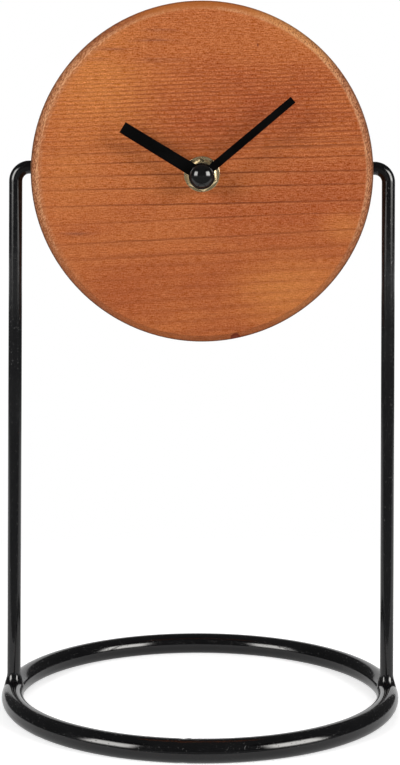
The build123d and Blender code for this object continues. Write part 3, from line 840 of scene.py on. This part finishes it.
class Finishes:
    """Every finish of the clock, by its slot."""

    BY_SLOT: dict[str, Finish] = {
        "black_coat": Coat(
            "black_coat_paint", colour=(0.0032, 0.0032, 0.0036), uneven=(0.0055, 0.0055, 0.006),
            specks=(0.012, 0.012, 0.013), smooth=0.07, rough=0.13, grain=700.0, cloud=55.0, depth=0.01 * MM,
            specular=0.45, nibs=4.5),
        "rubber": Coat(
            "black_rubber", colour=grey(0.020), uneven=(0.032, 0.031, 0.030), specks=grey(0.06),
            smooth=0.62, rough=0.80, grain=1500.0, cloud=150.0, depth=0.03 * MM),
        "black_plastic": Coat(
            "black_moulding", colour=(0.018, 0.018, 0.019), uneven=(0.026, 0.026, 0.027),
            specks=(0.045, 0.045, 0.046), smooth=0.40, rough=0.52, grain=2600.0, cloud=90.0, depth=0.03 * MM),
        "grey_plastic": Coat(
            "grey_moulding", colour=(0.42, 0.42, 0.43), uneven=(0.48, 0.48, 0.49), specks=grey(0.36),
            smooth=0.38, rough=0.50, grain=2200.0, cloud=90.0, depth=0.02 * MM),
        "gear_plastic": Coat(
            "gear_moulding", colour=(0.78, 0.76, 0.70), uneven=(0.86, 0.84, 0.79), specks=(0.70, 0.68, 0.62),
            smooth=0.28, rough=0.42, grain=1800.0, cloud=120.0, depth=0.01 * MM),
        "black_hands": Coat(
            "matt_hand_paint", colour=grey(0.0016), uneven=grey(0.0032), specks=grey(0.006),
            smooth=0.66, rough=0.78, grain=2600.0, cloud=120.0, depth=0.01 * MM, specular=0.01),
        "gloss_black": Coat(
            "gloss_cap_black", colour=grey(0.004), uneven=grey(0.006), specks=grey(0.010),
            smooth=0.03, rough=0.06, grain=500.0, cloud=120.0, depth=0.002 * MM, specular=0.45),
        "magnet": Coat(
            "dark_magnet", colour=(0.07, 0.07, 0.075), uneven=(0.11, 0.11, 0.115), specks=grey(0.16),
            smooth=0.45, rough=0.60, grain=3000.0, cloud=300.0, depth=0.03 * MM),
        "brass": TurnedMetal(
            "plain_brass", colour=(0.74, 0.60, 0.36), dull=(0.62, 0.48, 0.26),
            smooth=0.22, rough=0.32, lines=4.0, depth=0.0008 * MM),
        "steel": TurnedMetal(
            "stamped_steel", colour=(0.58, 0.59, 0.60), dull=(0.40, 0.41, 0.43),
            smooth=0.26, rough=0.42, lines=6.0, depth=0.01 * MM),
        "bright_metal": TurnedMetal(
            "nickel_plate", colour=(0.76, 0.75, 0.72), dull=(0.60, 0.59, 0.56),
            smooth=0.14, rough=0.28, lines=4.0, depth=0.006 * MM),
        "wood": OiledWood("oiled_wood"),
        "copper": WoundWire("wound_copper_wire"),
        "board": PaperBoard("paper_board"),
        "battery_can": CellSleeve("cell_sleeve"),
    }

    @classmethod
    def dress_nodes(cls) -> None:
        """Gives every carried-over node the finish of its slot."""
        for part in frame["record"]["subparts"]:
            node = frame["nodes"][part["node"]]
            made = cls.BY_SLOT[part["material_slot"]].material()
            for slot in node.material_slots:
                slot.material = made
            LOG.info("dressed %s as %s", part["node"], made.name)


# modelling by hand


class Bench:
    """Hand-modelling steps on the piece being made."""

    RING_SIDES = 96
    ROUND_STEPS = 5
    # places that are nearer than this, in metres, count as one
    NEAR = 0.001 * MM

    @staticmethod
    def clear() -> None:
        """Leaves edit mode and deselects everything."""
        if bpy.context.object and bpy.context.object.mode != "OBJECT":
            bpy.ops.object.mode_set(mode="OBJECT")
        bpy.ops.object.select_all(action="DESELECT")

    @classmethod
    def hold(cls, piece: Piece) -> None:
        """Selects one piece alone.

        Args:
            piece: The piece.
        """
        cls.clear()
        piece.select_set(True)
        bpy.context.view_layer.objects.active = piece

    @staticmethod
    def take(label: str) -> Piece:
        """Names the new primitive and opens it in edit mode, with all of it selected.

        Args:
            label: The piece's name.

        Returns:
            The piece.
        """
        piece = bpy.context.active_object
        piece.name = piece.data.name = label
        bpy.ops.object.mode_set(mode="EDIT")
        bpy.ops.mesh.select_all(action="SELECT")
        return piece

    @staticmethod
    def pick(piece: Piece, element: Element, test: Callable) -> None:
        """Selects what passes a test, in edit mode.

        Args:
            piece: The piece.
            element: What is selected.
            test: Takes a point's place, or a face's middle and normal.
        """
        bpy.context.tool_settings.mesh_select_mode = element.value
        bpy.ops.mesh.select_all(action="DESELECT")
        mesh = bmesh.from_edit_mesh(piece.data)
        if element is Element.VERT:
            chosen = [vert for vert in mesh.verts if test(vert.co)]
        else:
            chosen = [face for face in mesh.faces if test(face.calc_center_median(), face.normal)]
        for found in chosen:
            found.select_set(True)
        mesh.select_flush_mode()
        bmesh.update_edit_mesh(piece.data)

    @staticmethod
    def lift(offset: Point) -> None:
        """Extrudes the selection along an offset."""
        bpy.ops.mesh.extrude_region_move(TRANSFORM_OT_translate={"value": offset})

    @staticmethod
    def widen(factors: Point, middle: Point) -> None:
        """Scales the selection about a point."""
        bpy.ops.transform.resize(value=factors, center_override=middle)

    @classmethod
    def merge(cls) -> None:
        """Merges doubles and turns all faces outwards."""
        bpy.ops.mesh.select_all(action="SELECT")
        bpy.ops.mesh.remove_doubles(threshold=2 * cls.NEAR)
        bpy.ops.mesh.normals_make_consistent(inside=False)

    @classmethod
    def quarter_round(cls, radius: float, top: float, roll: float) -> Rings:
        """Gives the rings that round off the outer edge, of some radius, below a top."""
        turns = [pi / 2 * number / cls.ROUND_STEPS for number in range(1, cls.ROUND_STEPS + 1)]
        return [(radius - roll + roll * cos(turn), top - roll + roll * sin(turn)) for turn in turns]

    @classmethod
    def turned(cls, label: str, profile: Rings) -> Piece:
        """Turns a profile about the z axis, ring by ring, as a circle that is extruded and scaled.

        Args:
            label: The piece's name.
            profile: Radius and height of each ring, in mm; a radius of 0 closes a pole.

        Returns:
            The piece, left in edit mode, merged and turned outwards.
        """
        cls.clear()
        start = next(number for number, ring in enumerate(profile) if ring[0] > 0)
        radius, height = profile[start]
        bpy.ops.mesh.primitive_circle_add(vertices=cls.RING_SIDES, radius=radius * MM, fill_type="NOTHING",
                                          location=(0, 0, height * MM))
        piece = cls.take(label)
        if start:
            cls.lift((0, 0, (profile[0][1] - height) * MM))
            bpy.ops.mesh.merge(type="CENTER")
            cls.pick(piece, Element.VERT, lambda place: abs(place.z) < cls.NEAR < place.xy.length)
        for next_radius, next_height in profile[start + 1:]:
            cls.lift((0, 0, (next_height - height) * MM))
            if next_radius > 0:
                share = next_radius / radius
                cls.widen((share, share, 1), (0, 0, next_height * MM))
                radius = next_radius
            else:
                bpy.ops.mesh.merge(type="CENTER")
            height = next_height
        cls.merge()
        return piece

    @classmethod
    def settle(cls, piece: Piece, matrix: Matrix = Matrix.Identity(4)) -> None:
        """Moves a piece's place into its mesh.

        Args:
            piece: The piece.
            matrix: Where the piece goes, if it was made elsewhere.
        """
        cls.hold(piece)
        piece.matrix_world = matrix @ piece.matrix_world
        bpy.ops.object.transform_apply(location=True, rotation=True, scale=True)

    @classmethod
    def modify(cls, piece: Piece, kind: str, **settings) -> None:
        """Adds a modifier and applies it.

        Args:
            piece: The piece.
            kind: The modifier's type.
            **settings: The modifier's properties.
        """
        cls.hold(piece)
        modifier = piece.modifiers.new(kind.lower(), kind)
        for name, value in settings.items():
            setattr(modifier, name, value)
        bpy.ops.object.modifier_apply(modifier=modifier.name)

    @classmethod
    def combine(cls, piece: Piece, operation: str, tool: Piece) -> None:
        """Joins a tool to a piece or cuts it out of the piece, and uses the tool up.

        Args:
            piece: The piece.
            operation: The way of combining.
            tool: The tool, as it was turned.
        """
        cls.settle(tool)
        cls.modify(piece, "BOOLEAN", operation=operation, solver="EXACT", object=tool)
        bpy.data.objects.remove(tool)

    @classmethod
    def round_edges(cls, piece: Piece, angle: float) -> None:
        """Rounds the edges of a piece that are sharper than an angle in degrees."""
        cls.modify(piece, "BEVEL", width=EDGE_ROUND * MM, segments=2,
                   limit_method="ANGLE", angle_limit=radians(angle))

    @classmethod
    def smooth(cls, piece: Piece, angle: float) -> None:
        """Shades a piece smooth up to an angle in degrees."""
        cls.hold(piece)
        bpy.ops.object.shade_smooth_by_angle(angle=radians(angle))

    @staticmethod
    def dress(piece: Piece, slot: str, body: Body, *nodes: str) -> None:
        """Gives a piece its finish and its body, and says what it stands for.

        Args:
            piece: The piece.
            slot: The finish's slot.
            body: The body that it rides on.
            *nodes: The CAD nodes that it replaces.
        """
        piece.data.materials.clear()
        piece.data.materials.append(Finishes.BY_SLOT[slot].material())
        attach(piece, body.value)
        if nodes:
            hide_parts(*nodes)
        LOG.info("made %s for %s", piece.name, ", ".join(nodes) or body.value)


# the clock


@dataclass
class Stand:
    """The ring, the two bent uprights and the weld beads at their feet; sizes in mm."""

    ring_radius: float = 70.0
    ring_rod: float = 4.0
    ring_height: float = 3.8
    ring_sides: int = 288
    rod: float = 2.5
    rod_sides: int = 48
    rod_end_round: float = 0.4
    foot_height: float = 6.0
    shoulder: float = 70.0
    straight_steps: int = 12
    bend: float = 5.2
    bend_steps: int = 28
    inner_end: float = 49.7
    bead_rise: float = 3.4
    bead_tall: float = 5.0
    bead_reach: float = 1.36
    bead_hollow: float = 2.2
    bead_steps: int = 14
    bead_overlap: float = 0.02
    bead_sink: float = 0.12
    # size, number and start of each wave in the bead's flank
    bead_waves: tuple = ((0.10, 3, 0.7), (0.07, 7, 2.0), (0.05, 11, 0.0))
    bead_wave_fade: float = 1.4
    # the butt joint in the ring: its place along x, the reach of each dent or swelling, and where
    # along the ring each lies and what it does to the rod's height and thickness
    seam_place: float = -2.6
    seam_reach: float = 0.8
    seam_changes: tuple = ((-1.9, 0.965, 0.97), (1.7, 0.97, 0.975), (0.0, 1.035, 0.99))

    def build(self) -> None:
        """Builds and dresses the stand."""
        self.make_ring()
        left = self.make_upright()
        self.make_other_side(left, "right_upright_rod", "right_upright")
        bead = self.make_bead()
        self.make_other_side(bead, "right_weld_bead")

    def make_ring(self) -> None:
        """Makes the ring: a bent rod, flat below, with its butt joint at the front."""
        Bench.clear()
        bpy.ops.mesh.primitive_torus_add(
            major_segments=self.ring_sides, minor_segments=self.rod_sides, major_radius=self.ring_radius * MM,
            minor_radius=self.ring_rod * MM, location=(0, 0, self.ring_height * MM))
        ring = Bench.take("ring_rod")
        reach = self.seam_reach * MM
        for shift, tall, thick in self.seam_changes:
            across = (self.seam_place + shift) * MM
            Bench.pick(ring, Element.VERT, lambda place: place.y < 0 and abs(place.x - across) < reach)
            Bench.widen((1, thick, tall), (across, -self.ring_radius * MM, self.ring_height * MM))
        Bench.pick(ring, Element.VERT, lambda place: place.z < -self.ring_height * MM + Bench.NEAR)
        Bench.widen((1, 1, 0), (0, 0, 0))
        Bench.merge()
        Bench.settle(ring)
        Bench.smooth(ring, 30.0)
        Bench.dress(ring, "black_coat", Body.STAND, "base_ring")

    def make_upright(self) -> Piece:
        """Makes the left upright.

        Returns:
            The upright.
        """
        Bench.clear()
        bpy.ops.mesh.primitive_circle_add(vertices=self.rod_sides, radius=self.rod * MM, fill_type="NOTHING",
                                          location=(-self.shoulder * MM, 0, self.foot_height * MM))
        upright = Bench.take("left_upright_rod")
        straight = PIVOT_HEIGHT - self.bend - self.foot_height
        for _ in range(self.straight_steps):
            Bench.lift((0, 0, straight / self.straight_steps * MM))
        centre = ((self.bend - self.shoulder) * MM, 0, (PIVOT_HEIGHT - self.bend) * MM)
        bpy.ops.mesh.spin(steps=self.bend_steps, angle=radians(-90), center=centre, axis=(0, 1, 0))
        Bench.lift(((self.shoulder - self.bend - self.inner_end) * MM, 0, 0))
        bpy.ops.mesh.edge_face_add()
        bpy.ops.mesh.bevel(offset=self.rod_end_round * MM, segments=3, affect="EDGES")
        Bench.merge()
        Bench.settle(upright)
        Bench.smooth(upright, 40.0)
        Bench.dress(upright, "black_coat", Body.STAND, "left_upright")
        return upright

    def make_bead(self) -> Piece:
        """Makes the left weld bead, which hugs the rod above and the ring below.

        Returns:
            The bead.
        """
        top = self.ring_height + self.ring_rod + self.bead_rise
        profile = []
        for number in range(self.bead_steps + 1):
            share = number / self.bead_steps
            radius = self.rod - self.bead_overlap + self.bead_reach * share ** self.bead_hollow
            profile.append((radius, top - self.bead_tall * share))
        bead = Bench.turned("left_weld_bead", profile)
        Bench.settle(bead)
        for vert in bead.data.vertices:
            vert.co = self.hug_ring(vert.co / MM, top) * MM
        Bench.settle(bead, Matrix.Translation((-self.ring_radius * MM, 0, 0)))
        Bench.smooth(bead, 60.0)
        Bench.dress(bead, "black_coat", Body.STAND, "upright_welds")
        return bead

    def hug_ring(self, place: Vector, top: float) -> Vector:
        """Moves a point of the smooth bead onto the uneven bead, whose foot follows the ring.

        Args:
            place: The point, in mm, with the rod's axis as its zero.
            top: Height of the bead's top.

        Returns:
            The moved point, in mm.
        """
        turn = atan2(place.y, place.x)
        share = min(1.0, max(0.0, (top - place.z) / self.bead_tall))
        uneven = sum(size * sin(number * turn + start) for size, number, start in self.bead_waves)
        radius = place.xy.length + uneven * share * (self.bead_wave_fade - share)
        across, along = radius * cos(turn), radius * sin(turn)
        gap = sqrt((across - self.ring_radius) ** 2 + along ** 2) - self.ring_radius
        foot = self.ring_height + sqrt(max(0.0, self.ring_rod ** 2 - gap ** 2)) - self.bead_sink
        return Vector((across, along, top + (foot - top) * share))

    def make_other_side(self, left: Piece, label: str, *nodes: str) -> None:
        """Copies a left-hand piece to the right, with its own mesh.

        Args:
            left: The left-hand piece.
            label: Name of the copy.
            *nodes: The CAD nodes that the copy replaces.
        """
        Bench.clear()
        right = left.copy()
        right.data = left.data.copy()
        right.name = right.data.name = label
        # what was said about the left-hand piece doesn't hold for its copy
        for key in list(right.keys()):
            del right[key]
        bpy.context.scene.collection.objects.link(right)
        right.parent = None
        right.matrix_world = Matrix.Scale(-1, 4, (1, 0, 0))
        Bench.settle(right)
        bpy.ops.object.mode_set(mode="EDIT")
        Bench.merge()
        Bench.smooth(right, 40.0)
        Bench.dress(right, "black_coat", Body.STAND, *nodes)


@dataclass
class Fixing:
    """The brass washer and nut that clamp the movement to the dial; sizes in mm."""

    washer_radius: float = 6.7
    washer_bore: float = 4.05
    washer_bore_lead: float = 0.12
    washer_thickness: float = 0.6
    washer_roll: float = 0.22
    nut_flats: float = 10.8
    nut_thickness: float = 2.6
    nut_turn: float = 8.0
    nut_bevel_width: float = 0.8
    nut_bevel_height: float = 0.5
    nut_bore: float = 4.0
    nut_bore_lead: float = 0.18
    overrun: float = 1.0

    def build(self) -> None:
        """Builds and dresses the washer and the nut."""
        self.make_washer()
        self.make_nut()

    def make_washer(self) -> None:
        """Makes the washer: stamped, so its front edge is rolled over and its back edge is sharp."""
        low, high = FACE_LEVEL, FACE_LEVEL + self.washer_thickness
        wide, bore, lead = self.washer_radius, self.washer_bore, self.washer_bore_lead
        profile = [(bore, low), (wide, low), (wide, high - self.washer_roll)]
        profile += Bench.quarter_round(wide, high, self.washer_roll)
        profile += [(bore + lead, high), (bore, high - lead), (bore, low)]
        washer = Bench.turned("brass_washer_ring", profile)
        Bench.settle(washer, DIAL_FRAME.matrix)
        Bench.smooth(washer, 40.0)
        Bench.dress(washer, "brass", Body.DIAL, "brass_washer")

    def make_nut(self) -> None:
        """Makes the nut: a hexagonal blank, drawn in along its front edge and bored."""
        low = FACE_LEVEL + self.washer_thickness
        high = low + self.nut_thickness
        shoulder = high - self.nut_bevel_height
        corner = self.nut_flats / 2 / cos(radians(30))
        Bench.clear()
        bpy.ops.mesh.primitive_cylinder_add(vertices=6, radius=corner * MM, depth=(shoulder - low) * MM,
                                            location=(0, 0, (low + shoulder) / 2 * MM),
                                            rotation=(0, 0, radians(self.nut_turn)))
        nut = Bench.take("brass_hex_nut")
        Bench.pick(nut, Element.FACE, lambda place, normal: normal.z > 0.9)
        Bench.lift((0, 0, self.nut_bevel_height * MM))
        drawn = 1 - self.nut_bevel_width / (self.nut_flats / 2)
        Bench.widen((drawn, drawn, 1), (0, 0, high * MM))
        Bench.settle(nut)
        bore, below, above = self.nut_bore, low - self.overrun, high + self.overrun
        drill = Bench.turned("nut_drill", [
            (0, below), (bore, below), (bore, high - self.nut_bore_lead),
            (bore + self.nut_bore_lead + self.overrun, above), (0, above)])
        Bench.combine(nut, "DIFFERENCE", drill)
        Bench.round_edges(nut, 20.0)
        Bench.settle(nut, DIAL_FRAME.matrix)
        Bench.smooth(nut, 25.0)
        Bench.dress(nut, "brass", Body.DIAL, "hex_nut")


@dataclass
class Hand:
    """One flat hand: a tapered bar on a round hub with a collar; sizes in mm."""

    label: str
    node: str
    body: Body
    angle: float
    length: float
    root: float
    tip: float
    thickness: float
    hub: float
    level: float
    collar: float
    collar_low: float
    collar_high: float
    bore: float
    overrun: float = 1.0

    def build(self) -> None:
        """Builds and dresses the hand."""
        low, high, bore = self.level, self.level + self.thickness, self.bore / 2
        Bench.clear()
        bpy.ops.mesh.primitive_cube_add(size=1, location=(0, self.length / 2 * MM, (low + high) / 2 * MM),
                                        scale=(self.root * MM, self.length * MM, self.thickness * MM))
        bar = Bench.take(self.label)
        Bench.pick(bar, Element.VERT, lambda place: place.y > 0)
        Bench.widen((self.tip / self.root, 1, 1), (0, self.length * MM, low * MM))
        Bench.settle(bar)
        Bench.combine(bar, "UNION", Bench.turned(self.label + "_boss", self.boss_profile(low, high)))
        below, above = self.collar_low - self.overrun, self.collar_high + self.overrun
        drill = Bench.turned(self.label + "_bore", [(0, below), (bore, below), (bore, above), (0, above)])
        Bench.combine(bar, "DIFFERENCE", drill)
        Bench.round_edges(bar, 40.0)
        Bench.settle(bar, DIAL_FRAME.matrix @ Matrix.Rotation(radians(-self.angle), 4, "Z"))
        Bench.smooth(bar, 35.0)
        Bench.dress(bar, "black_hands", self.body, self.node)

    def boss_profile(self, low: float, high: float) -> Rings:
        """Gives the rings of the hub and its collar, which stands out behind the hub and may do so in front.

        Args:
            low: Height of the hub's back.
            high: Height of the hub's front.

        Returns:
            Radius and height of each ring.
        """
        bore, hub, collar = self.bore / 2, self.hub / 2, self.collar / 2
        back, front = self.collar_low, self.collar_high
        profile = [(bore, back), (collar, back), (collar, low), (hub, low), (hub, high)]
        if front - high > Bench.NEAR / MM:
            profile += [(collar, high), (collar, front)]
        return profile + [(bore, front), (bore, back)]


@dataclass
class Hands:
    """The two hands and the domed cap in front of them; sizes in mm."""

    hour: Hand = field(default_factory=lambda: Hand(
        "hour_bar", "hour_hand", Body.HOURS, angle=301.3, length=34.0, root=4.7, tip=4.4, thickness=0.45,
        hub=9.2, level=15.8, collar=6.8, collar_low=14.9, collar_high=16.7, bore=5.0))
    minute: Hand = field(default_factory=lambda: Hand(
        "minute_bar", "minute_hand", Body.MINUTES, angle=49.6, length=43.4, root=3.1, tip=2.7, thickness=0.4,
        hub=9.5, level=18.6, collar=5.0, collar_low=17.6, collar_high=19.0, bore=3.2))
    cap_level: float = 19.3
    flange_radius: float = 4.45
    flange_thickness: float = 0.5
    flange_round: float = 0.2
    flange_break: float = 0.05
    dome_radius: float = 4.1
    dome_height: float = 2.1
    dome_rings: int = 28

    def build(self) -> None:
        """Builds and dresses the hands and the cap."""
        self.hour.build()
        self.minute.build()
        self.make_cap()

    def make_cap(self) -> None:
        """Makes the cap: a thin rounded flange and a domed top."""
        low, high, wide = self.cap_level, self.cap_level + self.flange_thickness, self.flange_radius
        top = high + self.dome_height
        profile = [(0, low), (wide - self.flange_break, low), (wide, low + self.flange_break)]
        profile += [(wide, high - self.flange_round), *Bench.quarter_round(wide, high, self.flange_round)]
        globe = (self.dome_radius ** 2 + self.dome_height ** 2) / (2 * self.dome_height)
        widest = asin(self.dome_radius / globe)
        for number in range(self.dome_rings):
            turn = widest * (1 - number / self.dome_rings)
            profile.append((globe * sin(turn), top - globe + globe * cos(turn)))
        cap = Bench.turned("domed_cap", [*profile, (0, top)])
        Bench.settle(cap, DIAL_FRAME.matrix)
        Bench.smooth(cap, 30.0)
        Bench.dress(cap, "gloss_black", Body.SECONDS, "centre_cap")


# studio


@dataclass
class Studio:
    """Floor, light and camera, in metres; an azimuth is in degrees round the clock from its front."""

    # the camera, whose focal length and middle of view are in pixels, and whose sensor is in mm
    azimuth: float = 0.259
    distance: float = 634.8 * MM
    height: float = 185.46 * MM
    roll: float = 0.215
    focal: float = 1689.7
    centre_x: float = 201.90
    centre_y: float = 207.46
    sensor: float = 36.0
    # the lamps, and the room's own light
    lamp_glow: float = 12.6
    lamp_size: float = 0.34
    lamp_distance: float = 0.90
    lamp_height: float = 0.46
    lamp_aim: float = 0.16
    lamp_turn_share: float = 0.93
    rear_azimuth: float = 172.0
    rear_share: float = 0.85
    room_glow: float = 0.30
    # the floor, and what reflections see: a dark screen, the table's dark edge and two bright cards
    floor_radius: float = 3.0
    floor_white: float = 0.80
    screen_radius: float = 3.4
    screen_foot: float = 0.06
    screen_back: float = 3.0
    screen_glow: float = 0.08
    apron_width: float = 4.0
    apron_depth: float = 2.0
    apron_start: float = 0.087
    apron_lift: float = 0.0005
    apron_glow: float = 0.22
    card_distance: float = 1.70
    card_foot: float = 0.03
    card_tall: float = 2.30
    card_colour: Colour = (1.0, 0.98, 0.95)
    # name, azimuth, width and brightness of each card, which has a lamp beside it
    cards: tuple = (("left", -51.5, 1.16, 13.0), ("right", 55.5, 1.34, 15.0))

    def build(self) -> None:
        """Sets up the camera, the light and the floor."""
        bpy.context.scene.view_settings.view_transform = "Standard"
        self.make_camera()
        self.make_room()
        self.make_floor()
        self.make_screen()
        self.make_apron()
        self.make_lamp("rear_lamp", self.rear_azimuth, self.rear_share)
        for label, azimuth, width, brightness in self.cards:
            self.make_lamp(label + "_lamp", azimuth * self.lamp_turn_share, 1.0)
            self.make_card(label + "_card", azimuth, width, brightness)

    @staticmethod
    def round_clock(azimuth: float, distance: float, height: float) -> Vector:
        """Gives a place by its angle round the clock, its distance and its height."""
        return Vector((sin(radians(azimuth)) * distance, -cos(radians(azimuth)) * distance, height))

    def make_camera(self) -> None:
        """Places the camera at the photograph's point of view."""
        data = bpy.data.cameras.new("camera")
        data.sensor_fit = "AUTO"
        data.sensor_width = self.sensor
        longest = max(IMAGE_WIDTH, IMAGE_HEIGHT)
        data.lens = self.focal / longest * self.sensor
        data.shift_x = (IMAGE_WIDTH / 2 - self.centre_x) / longest
        data.shift_y = (self.centre_y - IMAGE_HEIGHT / 2) / longest
        camera = bpy.data.objects.new("camera", data)
        bpy.context.scene.collection.objects.link(camera)
        turn, roll = radians(self.azimuth), radians(self.roll)
        ahead = Vector((-sin(turn), cos(turn), 0))
        level, up = Vector((cos(turn), sin(turn), 0)), Vector((0, 0, 1))
        right = level * cos(roll) + up * sin(roll)
        above = up * cos(roll) - level * sin(roll)
        place = Matrix((right, above, -ahead)).transposed().to_4x4()
        place.translation = self.round_clock(self.azimuth, self.distance, self.height)
        camera.matrix_world = place
        bpy.context.scene.camera = camera

    def background_share(self, web: Web) -> Socket:
        """Gives 1 for the rays that look at the background.

        Args:
            web: The web of the floor or the world.

        Returns:
            The value's output.
        """
        path = web.put("ShaderNodeLightPath").outputs
        seen = web.math("MAXIMUM", path["Is Camera Ray"], path["Is Glossy Ray"])
        return web.math("MAXIMUM", seen, path["Is Transmission Ray"])

    def make_room(self) -> None:
        """Makes the white background and the soft light of the room."""
        world = bpy.data.worlds.new("room")
        bpy.context.scene.world = world
        web = Web.fresh(world)
        strength = web.add(self.room_glow, self.background_share(web), 1.0 - self.room_glow)
        web.surface(web.put("ShaderNodeBackground", {"Color": WHITE, "Strength": strength}), "World")

    def make_floor(self) -> None:
        """Makes the white floor, which keeps the clock's shadow near it and glows further away."""
        Bench.clear()
        bpy.ops.mesh.primitive_circle_add(vertices=128, radius=self.floor_radius, fill_type="NGON",
                                          location=(0, 0, 0))
        floor = bpy.context.active_object
        floor.name = "floor"
        made = bpy.data.materials.new("white_floor")
        web = Web.fresh(made)
        seen = self.background_share(web)
        mirrored = web.put("ShaderNodeLightPath").outputs["Is Glossy Ray"]
        away = web.vector("LENGTH", web.put("ShaderNodeTexCoord").outputs["Object"])
        white = web.put("ShaderNodeBsdfDiffuse", {"Color": grey(self.floor_white)})
        lift = web.glow(web.add(web.times(seen, 0.58), mirrored, -0.30))
        near = web.put("ShaderNodeAddShader", {0: white.outputs[0], 1: lift.outputs[0]})
        far = web.glow(web.add(1.0, web.times(mirrored, web.step(away, 0.40, 1.10)), -0.85))
        far_share = web.times(web.step(away, 0.10, 0.32), seen)
        web.surface(web.put("ShaderNodeMixShader", {0: far_share, 1: near.outputs[0], 2: far.outputs[0]}))
        floor.data.materials.append(made)

    def make_screen(self) -> None:
        """Makes the dark screen round the camera, which only reflections see."""
        Bench.clear()
        bpy.ops.mesh.primitive_uv_sphere_add(segments=64, ring_count=32, radius=self.screen_radius,
                                             location=(0, 0, 0))
        screen = Bench.take("dark_screen")
        bpy.ops.mesh.bisect(plane_co=(0, 0, self.screen_foot), plane_no=(0, 0, 1), clear_inner=True)
        bpy.ops.mesh.select_all(action="SELECT")
        bpy.ops.mesh.bisect(plane_co=(0, self.screen_back, 0), plane_no=(0, 1, 0), clear_outer=True)
        Bench.settle(screen)
        self.only_reflected(screen, self.glowing("dark_cloth", self.screen_glow))

    def make_apron(self) -> None:
        """Makes the dark edge of the table in front of the clock, which only reflections see."""
        Bench.clear()
        bpy.ops.mesh.primitive_plane_add(size=1, location=(0, 0, 0))
        apron = Bench.take("dark_apron")
        bpy.ops.transform.resize(value=(self.apron_width, self.apron_depth, 1.0))
        bpy.ops.transform.translate(value=(0, -self.apron_depth / 2 - self.apron_start, self.apron_lift))
        Bench.settle(apron)
        self.only_reflected(apron, self.glowing("dark_cloth_edge", self.apron_glow))

    def make_card(self, label: str, azimuth: float, width: float, brightness: float) -> None:
        """Makes the bright front of a soft box, brightest in its lower middle, which only reflections see.

        Args:
            label: The card's name.
            azimuth: Its angle round the clock, positive to the right.
            width: Its width.
            brightness: Its brightness in the middle, where 1 is white.
        """
        Bench.clear()
        bpy.ops.mesh.primitive_plane_add(size=1, location=(0, 0, 0))
        card = bpy.context.active_object
        card.name = label
        middle = self.round_clock(azimuth, self.card_distance, self.card_foot + self.card_tall / 2)
        facing = Matrix.Rotation(radians(azimuth), 4, "Z") @ Matrix.Rotation(radians(90), 4, "X")
        size = Matrix.Diagonal((width, self.card_tall, 1, 1))
        card.matrix_world = Matrix.Translation(middle) @ facing @ size
        made = bpy.data.materials.new(label + "_cloth")
        web = Web.fresh(made)
        across, up, _ = web.split(web.put("ShaderNodeTexCoord").outputs["Object"])
        sideways = web.step(web.math("ABSOLUTE", across), 0.24, 0.50, 1.0, 0.0)
        foot = web.put("ShaderNodeMapRange", {0: up, 1: -0.49, 2: -0.40, 3: 0.03, 4: 0.32}).outputs[0]
        foot = web.math("MAXIMUM", foot, web.step(up, -0.43, -0.35))
        strength = web.times(sideways, foot, web.step(up, -0.10, 0.16, 1.0, 0.0), brightness)
        web.surface(web.glow(strength, self.card_colour))
        self.only_reflected(card, made)

    def make_lamp(self, label: str, azimuth: float, share: float) -> None:
        """Places one soft lamp, which lights the clock and isn't seen in reflections.

        Args:
            label: The lamp's name.
            azimuth: Its angle round the clock, positive to the right.
            share: Its brightness beside that of the front lamps.
        """
        data = bpy.data.lights.new(label, "AREA")
        data.shape = "RECTANGLE"
        data.size = data.size_y = self.lamp_size
        data.energy = self.lamp_glow * share * pi * self.lamp_size ** 2
        lamp = bpy.data.objects.new(label, data)
        bpy.context.scene.collection.objects.link(lamp)
        place = self.round_clock(azimuth, self.lamp_distance, self.lamp_height)
        towards = (Vector((0, 0, self.lamp_aim)) - place).to_track_quat("-Z", "Y")
        lamp.matrix_world = Matrix.Translation(place) @ towards.to_matrix().to_4x4()
        lamp.visible_glossy = False

    def glowing(self, label: str, strength: float) -> bpy.types.Material:
        """Makes a plain glowing cloth for the studio.

        Args:
            label: The material's name.
            strength: Its brightness, where 1 is white.

        Returns:
            The material.
        """
        made = bpy.data.materials.new(label)
        web = Web.fresh(made)
        web.surface(web.glow(strength))
        return made

    def only_reflected(self, cloth: Piece, made: bpy.types.Material) -> None:
        """Gives a studio cloth its material and hides it from all but reflections.

        Args:
            cloth: The cloth.
            made: Its material.
        """
        cloth.data.materials.append(made)
        for ray in ("camera", "diffuse", "transmission", "volume_scatter", "shadow"):
            setattr(cloth, "visible_" + ray, False)


# all together


def main() -> None:
    """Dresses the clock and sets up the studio."""
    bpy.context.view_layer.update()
    Finishes.dress_nodes()
    for assembly in (Stand(), Fixing(), Hands(), Studio()):
        assembly.build()
        LOG.info("finished %s", type(assembly).__name__)
    Bench.clear()
    bpy.context.view_layer.update()


if __name__ == "__main__":
    logging.basicConfig(level=logging.INFO, format="%(name)s: %(message)s")
    main()
